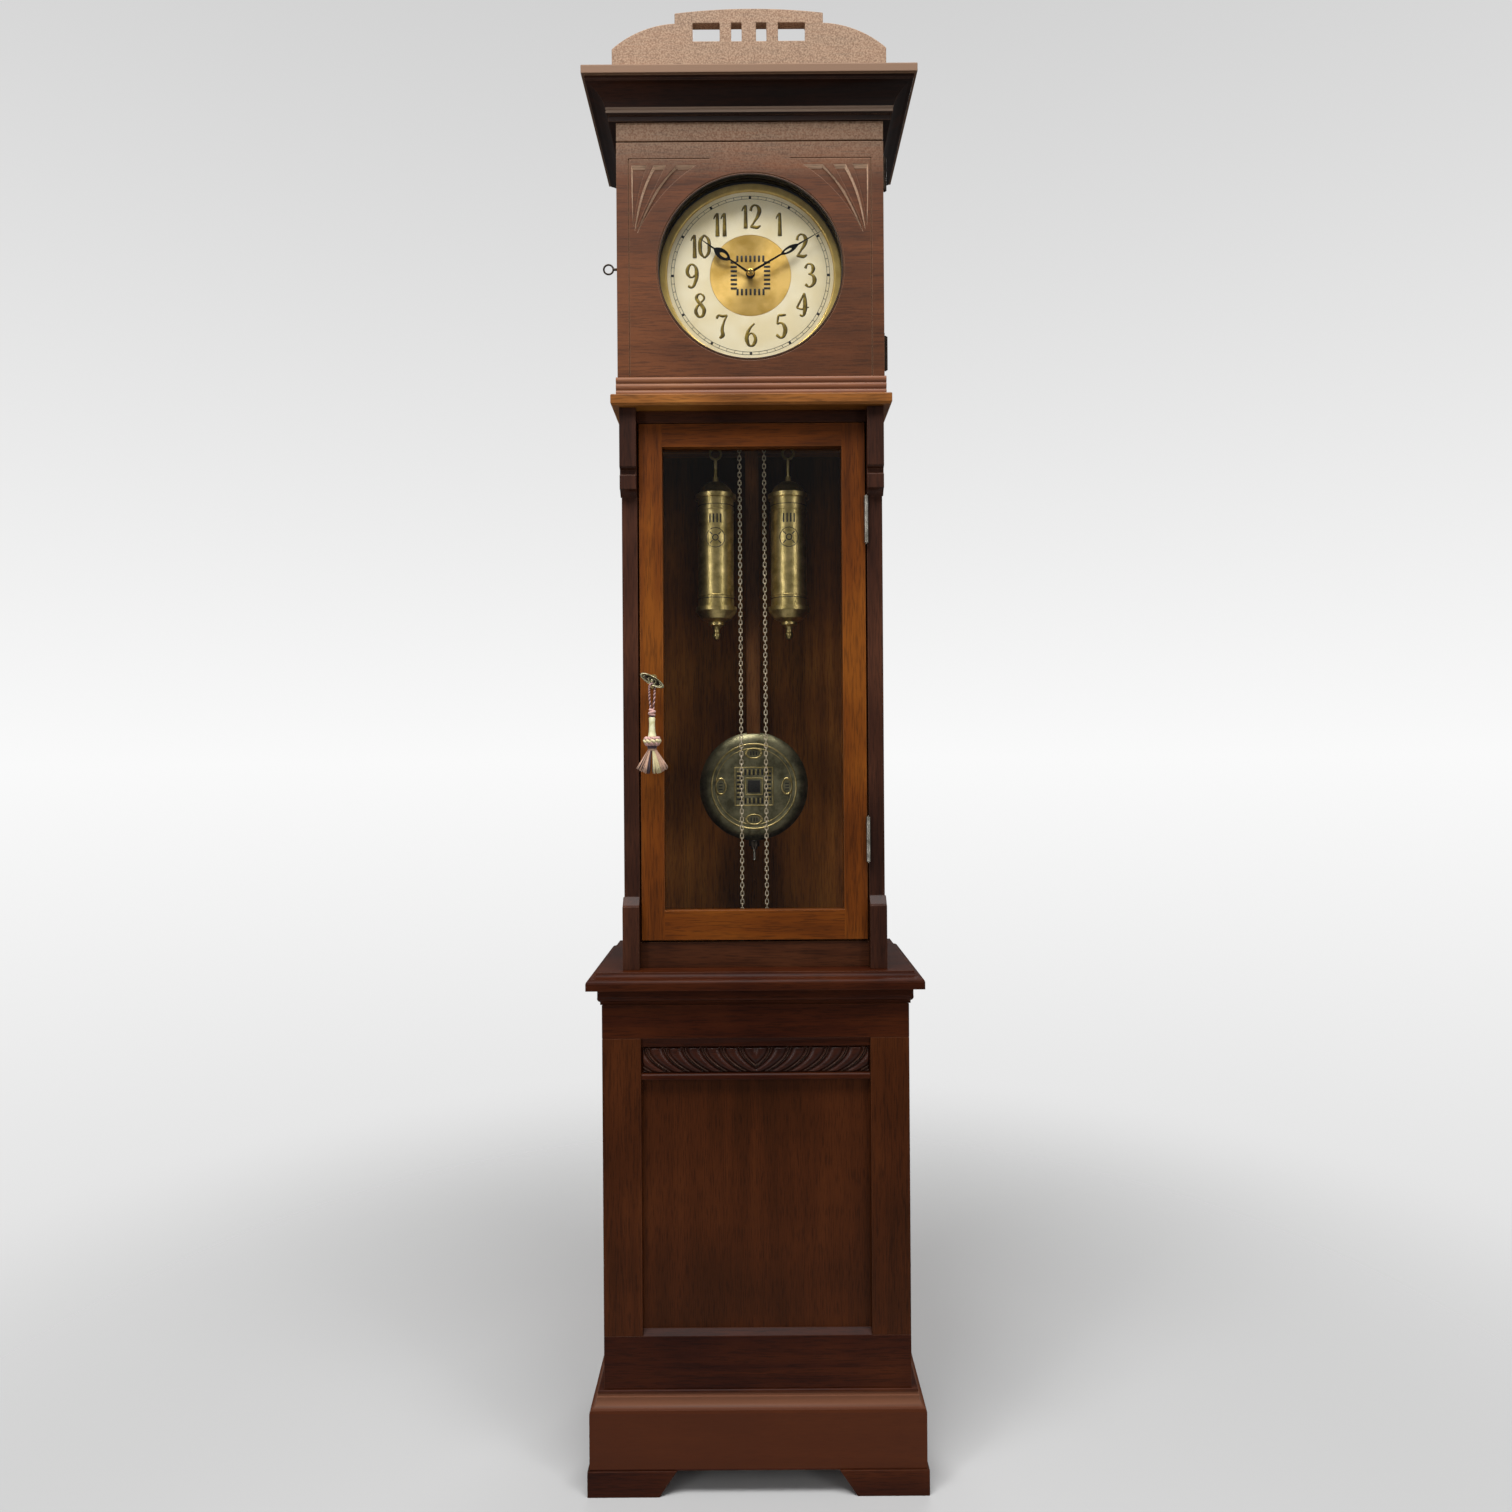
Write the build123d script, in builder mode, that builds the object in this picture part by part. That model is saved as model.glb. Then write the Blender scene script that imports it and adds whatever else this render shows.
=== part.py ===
from build123d import *
from math import cos, pi, radians, sin
import os

# Longcase clock in carved wood, with two chain-driven weights and a pendulum.
# Millimetres. Origin: middle of the footprint on the floor. +Z up, the face looks along -Y, +X right.

# ---- driving dimensions ----
width = 464
depth = 290
front = -depth / 2
wall = depth / 2
back_board = 12
board_back = wall - back_board  # where every side board ends

foot_h = 35
plinth_h = 112
base_floor = 138
base_top = 708
trunk_top = 1484
waist_top = 1527
hood_top = 1881
cornice_top_z = 1940
clock_h = 2040

plinth_half = 229
base_half = 210
base_front = -130
trunk_half = 181
trunk_front = -105
hood_half = 185
hood_front = -110
panel_half = 157
board = 18

# trunk door
door_half = 157
door_low, door_high = 747, 1465
door_front, door_back = -104, -86
glass_half = 125
glass_low, glass_high = 788, 1433
rebate = 6

# hood door
hood_door_low, hood_door_high = 1528.5, 1853
hood_door_back = -94
dial_z = 1681
opening_r = 127

# movement
wheel_x = 35.5
wheel_z = 1610
chain_y = -25
plate_front, plate_back, plate_t = -60, 10, 3
plate_half = 68
seat_top = 1545
swing_z = 1736  # line about which the pendulum and the anchor swing
pendulum_y = 35

# weights and pendulum
weight_x = 53
weight_r = 26
bob_z = 957
bob_r = 82

# key
key_x, key_z = -139, 1107
fit = 0.06  # radial clearance of every running fit

os.makedirs("parts", exist_ok=True)


def block(x0, x1, y0, y1, z0, z1, mode=Mode.ADD):
    """Add or cut one straight board between the given faces."""
    with Locations(((x0 + x1) / 2, (y0 + y1) / 2, (z0 + z1) / 2)):
        Box(x1 - x0, y1 - y0, z1 - z0, mode=mode)


def pair(x0, x1, y0, y1, z0, z1):
    """Add a board on the right and its mirror image on the left."""
    block(x0, x1, y0, y1, z0, z1)
    block(-x1, -x0, y0, y1, z0, z1)


def rod(x, z, y0, y1, r, mode=Mode.ADD):
    """Add or cut a round bar that runs from front to back."""
    with Locations(Location((x, (y0 + y1) / 2, z), (90, 0, 0))):
        Cylinder(r, y1 - y0, mode=mode)


def post(x, y, z0, z1, r, mode=Mode.ADD):
    """Add or cut an upright round bar."""
    with Locations((x, y, (z0 + z1) / 2)):
        Cylinder(r, z1 - z0, mode=mode)


def trace_edge(steps, edge):
    """Draw a moulding's outline: steps of (inset, height, bulge), upwards."""
    start = None
    for inset, height, bulge in steps:
        end = (edge + inset, height)
        if start and bulge:
            SagittaArc(start, end, bulge)
        elif start:
            Line(start, end)
        start = end


def moulded(steps, half, front_y, back_y):
    """Add a board whose front and two ends carry the same moulding, mitred."""
    low, high = steps[0][1], steps[-1][1]
    last_inset = steps[-1][0]
    with BuildPart(mode=Mode.PRIVATE) as body:
        with BuildSketch(Plane.YZ):
            with BuildLine():
                trace_edge(steps, front_y)
                last_y, first_y = front_y + last_inset, front_y + steps[0][0]
                Polyline((last_y, high), (back_y, high), (back_y, low), (first_y, low))
            make_face()
        extrude(amount=half, both=True)
        with BuildSketch(Plane.XZ.offset(-back_y)):
            with BuildLine():
                trace_edge(steps, -half)
                Line((-half + last_inset, high), (0, high))
                Line((0, low), (-half + steps[0][0], low))
                mirror(about=Plane.YZ)
            make_face()
        extrude(amount=2 * depth, mode=Mode.INTERSECT)
    add(body.part)


# ---- plinth and base ----

foot_w, foot_taper = 122, 24
with BuildPart() as feet:
    for y0, y1 in ((front, front + 85), (wall - 85, wall)):
        with BuildSketch(Plane.XZ.offset(-y1)):
            with BuildLine():
                Polyline((-width / 2, 0), (-width / 2 + foot_w - foot_taper, 0),
                         (-width / 2 + foot_w, foot_h), (-width / 2 + 1, foot_h), (-width / 2, foot_h - 1),
                         close=True)
            make_face()
            mirror(about=Plane.YZ)
        extrude(amount=y1 - y0)
feet.part.label = "feet"
export_step(feet.part, "parts/feet.step")

plinth_front = front + 2
plinth_cap = [(0, plinth_h, 0), (1, plinth_h + 4, 0), (9, plinth_h + 15, -2.2), (9, plinth_h + 18, 0),
              (11, plinth_h + 18, 0), (11, plinth_h + 21, 0), (12, base_floor, 1.2)]
with BuildPart() as plinth:
    block(-plinth_half, plinth_half, plinth_front, plinth_front + board, foot_h, plinth_h)
    pair(plinth_half - board, plinth_half, plinth_front + board, board_back, foot_h, plinth_h)
    moulded(plinth_cap, plinth_half, plinth_front, board_back)
plinth.part.label = "plinth"
export_step(plinth.part, "parts/plinth.step")

base_inner = base_front + board  # back face of the base's front frame
lower_rail_top, panel_top, carved_top, frieze_top = 210, 560, 617, 663
with BuildPart() as base_rails:
    block(-base_half, base_half, base_front, base_inner, base_floor, lower_rail_top)
    block(-base_half, base_half, base_front, base_inner, carved_top, frieze_top)
    with BuildSketch(Plane.YZ):
        with BuildLine():
            Polyline((base_front, lower_rail_top), (base_front + 10, lower_rail_top),
                     (base_front + 10, lower_rail_top + 7), close=True)
        make_face()
    extrude(amount=panel_half, both=True)
    # the carved rail: a ledge, the sunk field for the leaves, and a fillet
    with BuildSketch(Plane.YZ):
        with BuildLine():
            Polyline((base_inner, panel_top), (base_front + 1, panel_top), (base_front + 1, panel_top + 6),
                     (base_front + 3, panel_top + 8), (base_front + 9, panel_top + 8), (base_front + 9, 603),
                     (base_front + 4, 605), (base_front + 3, carved_top), (base_inner, carved_top),
                     close=True)
        make_face()
    extrude(amount=panel_half, both=True)
base_rails.part.label = "base_rails"
export_step(base_rails.part, "parts/base_rails.step")

with BuildPart() as base_stiles:
    pair(panel_half, base_half, base_front, base_inner, lower_rail_top, carved_top)
base_stiles.part.label = "base_stiles"
export_step(base_stiles.part, "parts/base_stiles.step")

with BuildPart() as base_panel:
    block(-panel_half, panel_half, base_front + 10, base_inner, lower_rail_top, panel_top)
base_panel.part.label = "base_panel"
export_step(base_panel.part, "parts/base_panel.step")

trunk_side = 16
pilaster_back = trunk_front + 20
with BuildPart() as case_sides:
    pair(base_half - board, base_half, base_inner, board_back, base_floor, frieze_top)
    pair(trunk_half - trunk_side, trunk_half, pilaster_back, board_back, base_top, trunk_top)
case_sides.part.label = "case_sides"
export_step(case_sides.part, "parts/case_sides.step")

base_cap = [(17.5, frieze_top, 0), (17.5, 667, 0), (14, 674, 1.5), (14, 684, 0), (0, 685, 0), (0, 694, 0),
            (6, 700, 1.8), (13, base_top, -1.8)]
well_half = 150
with BuildPart() as base_top_moulding:
    moulded(base_cap, 230, front, board_back)
    block(-well_half, well_half, -80, 115, frieze_top, base_top, Mode.SUBTRACT)
base_top_moulding.part.label = "base_top_moulding"
export_step(base_top_moulding.part, "parts/base_top_moulding.step")

screw_r = 3
screw_x, screw_z = 110, 1510
with BuildPart() as backboard:
    block(-base_half, base_half, board_back, wall, foot_h, base_top)
    block(-trunk_half, trunk_half, board_back, wall, base_top, trunk_top)
    block(-hood_half, hood_half, board_back, wall, trunk_top, 1928)
    rod(screw_x, screw_z, board_back - 1, wall + 1, screw_r, Mode.SUBTRACT)
    rod(0, 803, board_back - 14, board_back, 1.2)  # beat pin behind the bob
backboard.part.label = "backboard"
export_step(backboard.part, "parts/backboard.step")

# ---- trunk ----

pilaster_in = 159.6
bracket_out = 182.5
with BuildPart() as trunk_pilasters:
    pair(pilaster_in, trunk_half, trunk_front, pilaster_back, base_top, trunk_top)
    for x0 in (pilaster_in, -bracket_out):
        with BuildSketch(Plane.YZ.offset(x0)):
            with BuildLine():
                Polyline((trunk_front, trunk_top), (-118, trunk_top), (-118, 1403), (-116, 1401),
                                 (-112, 1399), (-112, 1393), (-116, 1391), (-116, 1372))
                SagittaArc((-116, 1372), (trunk_front, 1362), 2)
                Line((trunk_front, 1362), (trunk_front, trunk_top))
            make_face()
            with BuildLine():
                Polyline((trunk_front, base_top), (-117, base_top), (-117, 795), (-114, 797),
                         (trunk_front, 808),
                         close=True)
            make_face()
        extrude(amount=bracket_out - pilaster_in)
trunk_pilasters.part.label = "trunk_pilasters"
export_step(trunk_pilasters.part, "parts/trunk_pilasters.step")

rail_front = -101
with BuildPart() as trunk_rails:
    block(-pilaster_in, pilaster_in, rail_front, pilaster_back, base_top, door_low - 3)
    block(-pilaster_in, pilaster_in, rail_front, pilaster_back, door_high + 2, trunk_top)
trunk_rails.part.label = "trunk_rails"
export_step(trunk_rails.part, "parts/trunk_rails.step")

reed = (waist_top - 1500) / 3
waist_cap = [(2, trunk_top, 0), (0, 1487, 0), (0, 1498, 0), (3, 1500, 0.4)]
reeds = [(0, 1500, 0), (0, 1500 + reed, 1.8), (0, 1500 + 2 * reed, 1.8), (0, waist_top, 1.8)]
with BuildPart() as trunk_cap:
    moulded(waist_cap, 193, -128, board_back)
    moulded(reeds, hood_half + 2, hood_front - 3, board_back)
    block(-140, 140, -70, 110, trunk_top, waist_top, Mode.SUBTRACT)
trunk_cap.part.label = "trunk_cap"
export_step(trunk_cap.part, "parts/trunk_cap.step")

# ---- hood ----

hood_side = 14
side_front = -92
latch_z = 1681
with BuildPart() as hood_sides:
    pair(hood_half - hood_side, hood_half, side_front, board_back, waist_top, hood_top)
    # slot in the left side's front edge for the latch arm
    block(-hood_half + 5, -hood_half + 11, side_front - 1, side_front + 14, latch_z - 7, latch_z + 16,
          Mode.SUBTRACT)
hood_sides.part.label = "hood_sides"
export_step(hood_sides.part, "parts/hood_sides.step")

with BuildPart() as hood_frieze:
    block(-hood_half, hood_half, hood_front, side_front, hood_door_high + 2, hood_top)
hood_frieze.part.label = "hood_frieze"
export_step(hood_frieze.part, "parts/hood_frieze.step")

cornice_half = 228
cove = [(32.5, hood_top, 0), (32.5, 1889, 0), (31, 1889, 0), (31, 1897, 1.5), (29, 1898, 0), (5, 1921, -5),
        (4, 1923, 0), (4, 1928, 0)]
lid = [(0, 1928, 0), (0, 1938, 0), (2, cornice_top_z, 0.4)]
with BuildPart() as cornice:
    moulded(cove, cornice_half, front, board_back)
    block(-150, 150, -70, 120, hood_top, 1928, Mode.SUBTRACT)
    moulded(lid, cornice_half, front, wall)
cornice.part.label = "cornice"
export_step(cornice.part, "parts/cornice.step")

crest_front, crest_t = -107, 14
crest_half, crest_side, crest_step = 190.5, 1985, 103
slot_low, slot_high = 1995, 2020
with BuildPart() as crest:
    with BuildSketch(Plane.XZ.offset(-crest_front - crest_t)):
        with BuildLine():
            Polyline((0, cornice_top_z), (-crest_half, cornice_top_z), (-crest_half, crest_side))
            SagittaArc((-crest_half, crest_side), (-crest_step, 2020), 8)
            Line((-crest_step, 2020), (-crest_step, 2034))
            ThreePointArc((-crest_step, 2034), (-crest_step / 2, 2038.5), (0, clock_h))
            mirror(about=Plane.YZ)
        make_face()
        for x0, x1 in ((10, 24.5), (40.5, 78)):
            for side in (1, -1):
                with Locations((side * (x0 + x1) / 2, (slot_low + slot_high) / 2)):
                    Rectangle(x1 - x0, slot_high - slot_low, mode=Mode.SUBTRACT)
    extrude(amount=crest_t)
crest.part.label = "crest"
export_step(crest.part, "parts/crest.step")

# ---- movement and dial ----

with BuildPart() as seat_board:
    block(-hood_half + hood_side, hood_half - hood_side, -70, 22, waist_top, seat_top)
    for x in (-weight_x, -18, 18, weight_x):
        block(x - 7, x + 7, chain_y - 7, chain_y + 7, waist_top, seat_top, Mode.SUBTRACT)
seat_board.part.label = "seat_board"
export_step(seat_board.part, "parts/seat_board.step")

mask_front, mask_back = -77, -70
feet_spots = [(-55, 1610), (55, 1610), (-55, 1742), (55, 1742)]
with BuildPart() as dial_mask:
    block(-hood_half + hood_side, hood_half - hood_side, mask_front, mask_back, waist_top, hood_top)
    rod(0, dial_z, mask_front - 1, mask_back + 1, 45, Mode.SUBTRACT)
    for x, z in feet_spots:
        rod(x, z, mask_front - 1, mask_back + 1, 4, Mode.SUBTRACT)
dial_mask.part.label = "dial_mask"
export_step(dial_mask.part, "parts/dial_mask.step")

arbor_r = 2.4
escape_z = 1706
hammer_x, hammer_z = 60, 1565
with BuildPart() as movement_frame:
    for y in (plate_front, plate_back):
        block(-plate_half, plate_half, y, y + plate_t, seat_top, 1756)
    for x, z in ((-62, 1552), (62, 1552), (-62, 1748), (62, 1748)):
        rod(x, z, plate_front + plate_t, plate_back, 4)
    for x, z in feet_spots:
        rod(x, z, mask_front, plate_front, 3)
    for x, z, r in ((0, dial_z, arbor_r), (0, escape_z, 1.6), (0, swing_z, 2),
                    (-wheel_x, wheel_z, 3), (wheel_x, wheel_z, 3), (hammer_x, hammer_z, 2)):
        rod(x, z, plate_front - 1, plate_back + plate_t + 1, r + fit, Mode.SUBTRACT)
movement_frame.part.label = "movement_frame"
export_step(movement_frame.part, "parts/movement_frame.step")

plate_y = -79  # front of the dial's base plate
ring_outer, ring_inner = 117.5, 57.5
with BuildPart() as dial_bezel:
    with BuildSketch(Plane.XZ.offset(-mask_front)):
        with Locations((0, dial_z)):
            Circle(129)
            Circle(5, mode=Mode.SUBTRACT)
    extrude(amount=mask_front - plate_y)
    with BuildSketch(Plane.XZ.offset(-plate_y)):
        with Locations((0, dial_z)):
            Circle(129)
            Circle(ring_outer + 0.3, mode=Mode.SUBTRACT)
    extrude(amount=5)
    rim = dial_bezel.faces().sort_by(Axis.Y)[0]
    fillet(rim.edges(), 2.2)
dial_bezel.part.label = "dial_bezel"
export_step(dial_bezel.part, "parts/dial_bezel.step")

disc_t = 2.2
with BuildPart() as chapter_ring:
    with BuildSketch(Plane.XZ.offset(-plate_y)):
        with Locations((0, dial_z)):
            Circle(ring_outer)
            Circle(ring_inner, mode=Mode.SUBTRACT)
    extrude(amount=disc_t)
chapter_ring.part.label = "chapter_ring"
export_step(chapter_ring.part, "parts/chapter_ring.step")

with BuildPart() as dial_centre:
    with BuildSketch(Plane.XZ.offset(-plate_y)):
        with Locations((0, dial_z)):
            Circle(ring_inner - 0.5)
            Circle(5, mode=Mode.SUBTRACT)
    extrude(amount=disc_t)
dial_centre.part.label = "dial_centre"
export_step(dial_centre.part, "parts/dial_centre.step")

with BuildPart() as pendulum_cock:
    block(-6, 6, plate_back + plate_t, 41, swing_z + 5, swing_z + 14)
    block(-7, 7, 31, 39, swing_z + 1, swing_z + 5)
pendulum_cock.part.label = "pendulum_cock"
export_step(pendulum_cock.part, "parts/pendulum_cock.step")

gong_y, gong_z, gong_r = 66, 1635, 48
with BuildPart() as gong:
    block(-29.5, -18, gong_y + 4, board_back, gong_z - 8, gong_z + 8)
    with BuildSketch(Plane.XZ.offset(-gong_y - 4)):
        with BuildLine():
            side, r = 1, gong_r
            start = (gong_r, gong_z)
            for turn in range(9):
                end = (start[0] - side * 2 * r, gong_z)
                RadiusArc(start, end, -r)
                start, side, r = end, -side, r - 2.6
        trace(line_width=2.4)
    extrude(amount=4)
gong.part.label = "gong"
export_step(gong.part, "parts/gong.step")

with BuildPart() as minute_arbor:
    rod(0, dial_z, -91.6, plate_back + plate_t + 3, arbor_r)
    rod(0, dial_z, -52, -49, 20)
    rod(0, dial_z, -96, -91.6, 5.4)
    fillet(minute_arbor.faces().sort_by(Axis.Y)[0].edges(), 3.6)
    for tooth in range(40):
        angle = 2 * pi * tooth / 40
        tooth_at = (20 * sin(angle), -50.5, dial_z + 20 * cos(angle))
        with Locations(Location(tooth_at, (0, 360 * tooth / 40, 0))):
            Box(1.4, 3, 3)
minute_arbor.part.label = "minute_arbor"
export_step(minute_arbor.part, "parts/minute_arbor.step")

# each hand: a long slim blade that widens to a pierced leaf
hour_angle, minute_angle = 305, 60
hand_t = 1.2


def hand(length, leaf_at, leaf_w, boss, y_back, angle, bore):
    """Make a pierced leaf-shaped hand lying in a plane parallel to the dial."""
    across = (cos(radians(angle)), 0, -sin(radians(angle)))
    plane = Plane(origin=(0, y_back, dial_z), x_dir=across, z_dir=(0, -1, 0))
    with BuildPart(mode=Mode.PRIVATE) as blade:
        with BuildSketch(plane):
            with BuildLine():
                Line((1.6, 0), (1.0, leaf_at - 12))
                ThreePointArc((1.0, leaf_at - 12), (leaf_w / 2, leaf_at), (1.1, leaf_at + 15))
                Line((1.1, leaf_at + 15), (0, length))
                Line((0, length), (-1.1, leaf_at + 15))
                ThreePointArc((-1.1, leaf_at + 15), (-leaf_w / 2, leaf_at), (-1.0, leaf_at - 12))
                Line((-1.0, leaf_at - 12), (-1.6, 0))
                Line((-1.6, 0), (1.6, 0))
            make_face()
            Circle(boss)
            Circle(bore, mode=Mode.SUBTRACT)
            with Locations((0, leaf_at - 1)):
                Ellipse(leaf_w / 5, 6, mode=Mode.SUBTRACT)
        extrude(amount=hand_t)
    return blade.part


with BuildPart() as minute_hand:
    add(hand(116, 62, 9, 5.5, -90.4, minute_angle, arbor_r))
minute_hand.part.label = "minute_hand"
export_step(minute_hand.part, "parts/minute_hand.step")

with BuildPart() as hour_hand:
    add(hand(89, 47, 14, 6.5, -86.2, hour_angle, arbor_r + 1))
    rod(0, dial_z, -86.2, -64, 4)
    rod(0, dial_z, -88, -63, arbor_r + fit, Mode.SUBTRACT)
hour_hand.part.label = "hour_hand"
export_step(hour_hand.part, "parts/hour_hand.step")


def chain_wheel(x):
    """Add one great wheel with its sprocket between two flanges, on its arbor."""
    rod(x, wheel_z, plate_front - 2, plate_back + plate_t + 3, 3)
    rod(x, wheel_z, -29.8, -28.4, 16.5)
    rod(x, wheel_z, -28.4, -21.6, 14.1)
    rod(x, wheel_z, -21.6, -20.2, 16.5)
    rod(x, wheel_z, -41, -38, 27.5)
    for tooth in range(60):
        angle = 2 * pi * tooth / 60
        tooth_at = (x + 27.5 * sin(angle), -39.5, wheel_z + 27.5 * cos(angle))
        with Locations(Location(tooth_at, (0, 6 * tooth, 0))):
            Box(1.2, 3, 3)


with BuildPart() as left_chain_wheel:
    chain_wheel(-wheel_x)
left_chain_wheel.part.label = "left_chain_wheel"
export_step(left_chain_wheel.part, "parts/left_chain_wheel.step")

with BuildPart() as right_chain_wheel:
    chain_wheel(wheel_x)
right_chain_wheel.part.label = "right_chain_wheel"
export_step(right_chain_wheel.part, "parts/right_chain_wheel.step")

escape_r, escape_teeth = 17, 30
with BuildPart() as escape_wheel:
    rod(0, escape_z, plate_front - 1, plate_back + plate_t + 1, 1.6)
    rod(0, escape_z, -12, -10, escape_r)
    rod(0, escape_z, -14, -8, 4)
    for tooth in range(escape_teeth):
        angle = 2 * pi * tooth / escape_teeth
        x, z = (escape_r + 1) * sin(angle), escape_z + (escape_r + 1) * cos(angle)
        with Locations(Location((x, -11, z), (0, 12 * tooth + 18, 0))):
            Box(0.9, 2, 4)
escape_wheel.part.label = "escape_wheel"
export_step(escape_wheel.part, "parts/escape_wheel.step")

with BuildPart() as anchor:
    rod(0, swing_z, plate_front - 1, 29, 2)
    with BuildSketch(Plane.XZ.offset(9.5)):
        with Locations((0, swing_z)):
            Circle(5)
            Rectangle(34, 4, align=(Align.CENTER, Align.MAX))
        for side in (-1, 1):
            with Locations((side * 17, swing_z - 8)):
                Rectangle(3.2, 12)
    extrude(amount=3)
    # crutch: an arm down behind the back plate and a fork round the pendulum rod
    block(-3, 3, 24, 27, 1690, swing_z)
    for side in (-1, 1):
        block(side * 11.7 - 1.3, side * 11.7 + 1.3, 27, 39, 1690, 1694)
    block(-13, 13, 24, 27, 1690, 1694)
anchor.part.label = "anchor"
export_step(anchor.part, "parts/anchor.step")

with BuildPart() as hammer:
    rod(hammer_x, hammer_z, plate_front - 1, gong_y + 4, 2)
    block(hammer_x - 2, hammer_x + 2, gong_y, gong_y + 4, hammer_z, gong_z)
    with Locations(Location((hammer_x, gong_y + 2, gong_z), (0, 90, 0))):
        Cylinder(6, 12)
hammer.part.label = "hammer"
export_step(hammer.part, "parts/hammer.step")

# ---- pendulum ----

rod_w, rod_low = 20, 1030
with BuildPart() as pendulum_rod:
    block(-rod_w / 2, rod_w / 2, 31, 39, rod_low, 1715)
pendulum_rod.part.label = "pendulum_rod"
export_step(pendulum_rod.part, "parts/pendulum_rod.step")

with BuildPart() as pendulum_steel:
    block(-4, 4, pendulum_y - 0.2, pendulum_y + 0.2, 1715, swing_z)
    post(0, pendulum_y, 845, rod_low, 2)
pendulum_steel.part.label = "pendulum_steel"
export_step(pendulum_steel.part, "parts/pendulum_steel.step")

with BuildPart() as pendulum_bob:
    with BuildSketch(Plane.YZ.offset(0)):
        with BuildLine():
            Line((pendulum_y - 9, bob_z), (pendulum_y - 9, bob_z + 60))
            ThreePointArc((pendulum_y - 9, bob_z + 60), (pendulum_y - 7.5, bob_z + 74),
                          (pendulum_y - 2, bob_z + bob_r))
            Line((pendulum_y - 2, bob_z + bob_r), (pendulum_y + 4, bob_z + bob_r))
            Line((pendulum_y + 4, bob_z + bob_r), (pendulum_y + 9, bob_z + 60))
            Line((pendulum_y + 9, bob_z + 60), (pendulum_y + 9, bob_z))
            Line((pendulum_y + 9, bob_z), (pendulum_y - 9, bob_z))
        make_face()
    revolve(axis=Axis((0, 0, bob_z), (0, 1, 0)))
    post(0, pendulum_y, bob_z - bob_r - 1, bob_z + bob_r + 1, 2.4, Mode.SUBTRACT)
    block(-rod_w / 2 - 0.2, rod_w / 2 + 0.2, 30.8, 39.2, rod_low, bob_z + bob_r + 1, Mode.SUBTRACT)
pendulum_bob.part.label = "pendulum_bob"
export_step(pendulum_bob.part, "parts/pendulum_bob.step")

with BuildPart() as rating_nut:
    post(0, pendulum_y, 862, 866, 5)
    post(0, pendulum_y, 866, 874.5, 8)
    post(0, pendulum_y, 860, 876, 2 + fit, Mode.SUBTRACT)
rating_nut.part.label = "rating_nut"
export_step(rating_nut.part, "parts/rating_nut.step")

# ---- weights and chains ----


def weight_caps(x):
    """Make the turned top and bottom caps with the hanging hook, on one upright axis."""
    axis = Axis((x, chain_y, 0), (0, 0, 1))
    with BuildPart(mode=Mode.PRIVATE) as turned:
        with BuildSketch(Plane.XZ.offset(-chain_y)):
            with BuildLine():
                Polyline((x + 5, 1404), (x + 4, 1411), (x, 1411), (x, 1378), (x + 30, 1378), (x + 30, 1384),
                         (x + 26, 1386), (x + 24, 1389))
                SagittaArc((x + 24, 1389), (x + 5, 1404), -3)
            make_face()
        revolve(axis=axis)
        with BuildSketch(Plane.XZ.offset(-chain_y)):
            with BuildLine():
                Polyline((x + 4.5, 1184), (x + 5.6, 1181), (x + 5.6, 1178), (x + 3.5, 1174), (x + 1.5, 1173),
                         (x, 1173), (x, 1220), (x + 30, 1220), (x + 30, 1214), (x + 22, 1203), (x + 12, 1198),
                         (x + 12, 1194))
                SagittaArc((x + 12, 1194), (x + 4.5, 1184), -2.5)
            make_face()
        revolve(axis=axis)
        # hook: a shank and an eye for the chain's last link
        post(x, chain_y, 1409, 1437, 2.4)
        rod(x, 1445, chain_y - 1.6, chain_y + 1.6, 9.6)
        rod(x, 1445, chain_y - 2, chain_y + 2, 6.4, Mode.SUBTRACT)
    return turned.part


for side, sign in (("left", -1), ("right", 1)):
    x = sign * weight_x
    with BuildPart() as weight_tube:
        post(x, chain_y, 1220, 1378, weight_r)
    weight_tube.part.label = f"{side}_weight_tube"
    export_step(weight_tube.part, f"parts/{side}_weight_tube.step")

    with BuildPart() as caps:
        add(weight_caps(x))
    caps.part.label = f"{side}_weight_caps"
    export_step(caps.part, f"parts/{side}_weight_caps.step")

    with BuildPart() as loaded_chain:
        block(x - 3, x + 3, chain_y - 3, chain_y + 3, 1455, wheel_z)
    loaded_chain.part.label = f"{side}_loaded_chain"
    export_step(loaded_chain.part, f"parts/{side}_loaded_chain.step")

    with BuildPart() as free_chain:
        block(sign * 18 - 3, sign * 18 + 3, chain_y - 3, chain_y + 3, 480, wheel_z)
    free_chain.part.label = f"{side}_free_chain"
    export_step(free_chain.part, f"parts/{side}_free_chain.step")

# ---- trunk door ----

stile_in = glass_half
with BuildPart() as trunk_door_frame:
    pair(stile_in, door_half, door_front, door_back, door_low, door_high)
    block(-stile_in, stile_in, door_front, door_back, glass_high, door_high)
    block(-stile_in, stile_in, door_front, door_back, door_low, glass_low)
    block(-stile_in - rebate, stile_in + rebate, -94, door_back, glass_low - rebate, glass_high + rebate,
          Mode.SUBTRACT)
    rod(key_x, key_z, door_front - 1, door_back + 1, 2.6, Mode.SUBTRACT)
trunk_door_frame.part.label = "trunk_door_frame"
export_step(trunk_door_frame.part, "parts/trunk_door_frame.step")

pane_half = glass_half + rebate - 0.5
pane_low, pane_high = glass_low - rebate + 0.5, glass_high + rebate - 0.5
with BuildPart() as trunk_door_glass:
    block(-pane_half, pane_half, -94, -91.5, pane_low, pane_high)
trunk_door_glass.part.label = "trunk_door_glass"
export_step(trunk_door_glass.part, "parts/trunk_door_glass.step")

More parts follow.
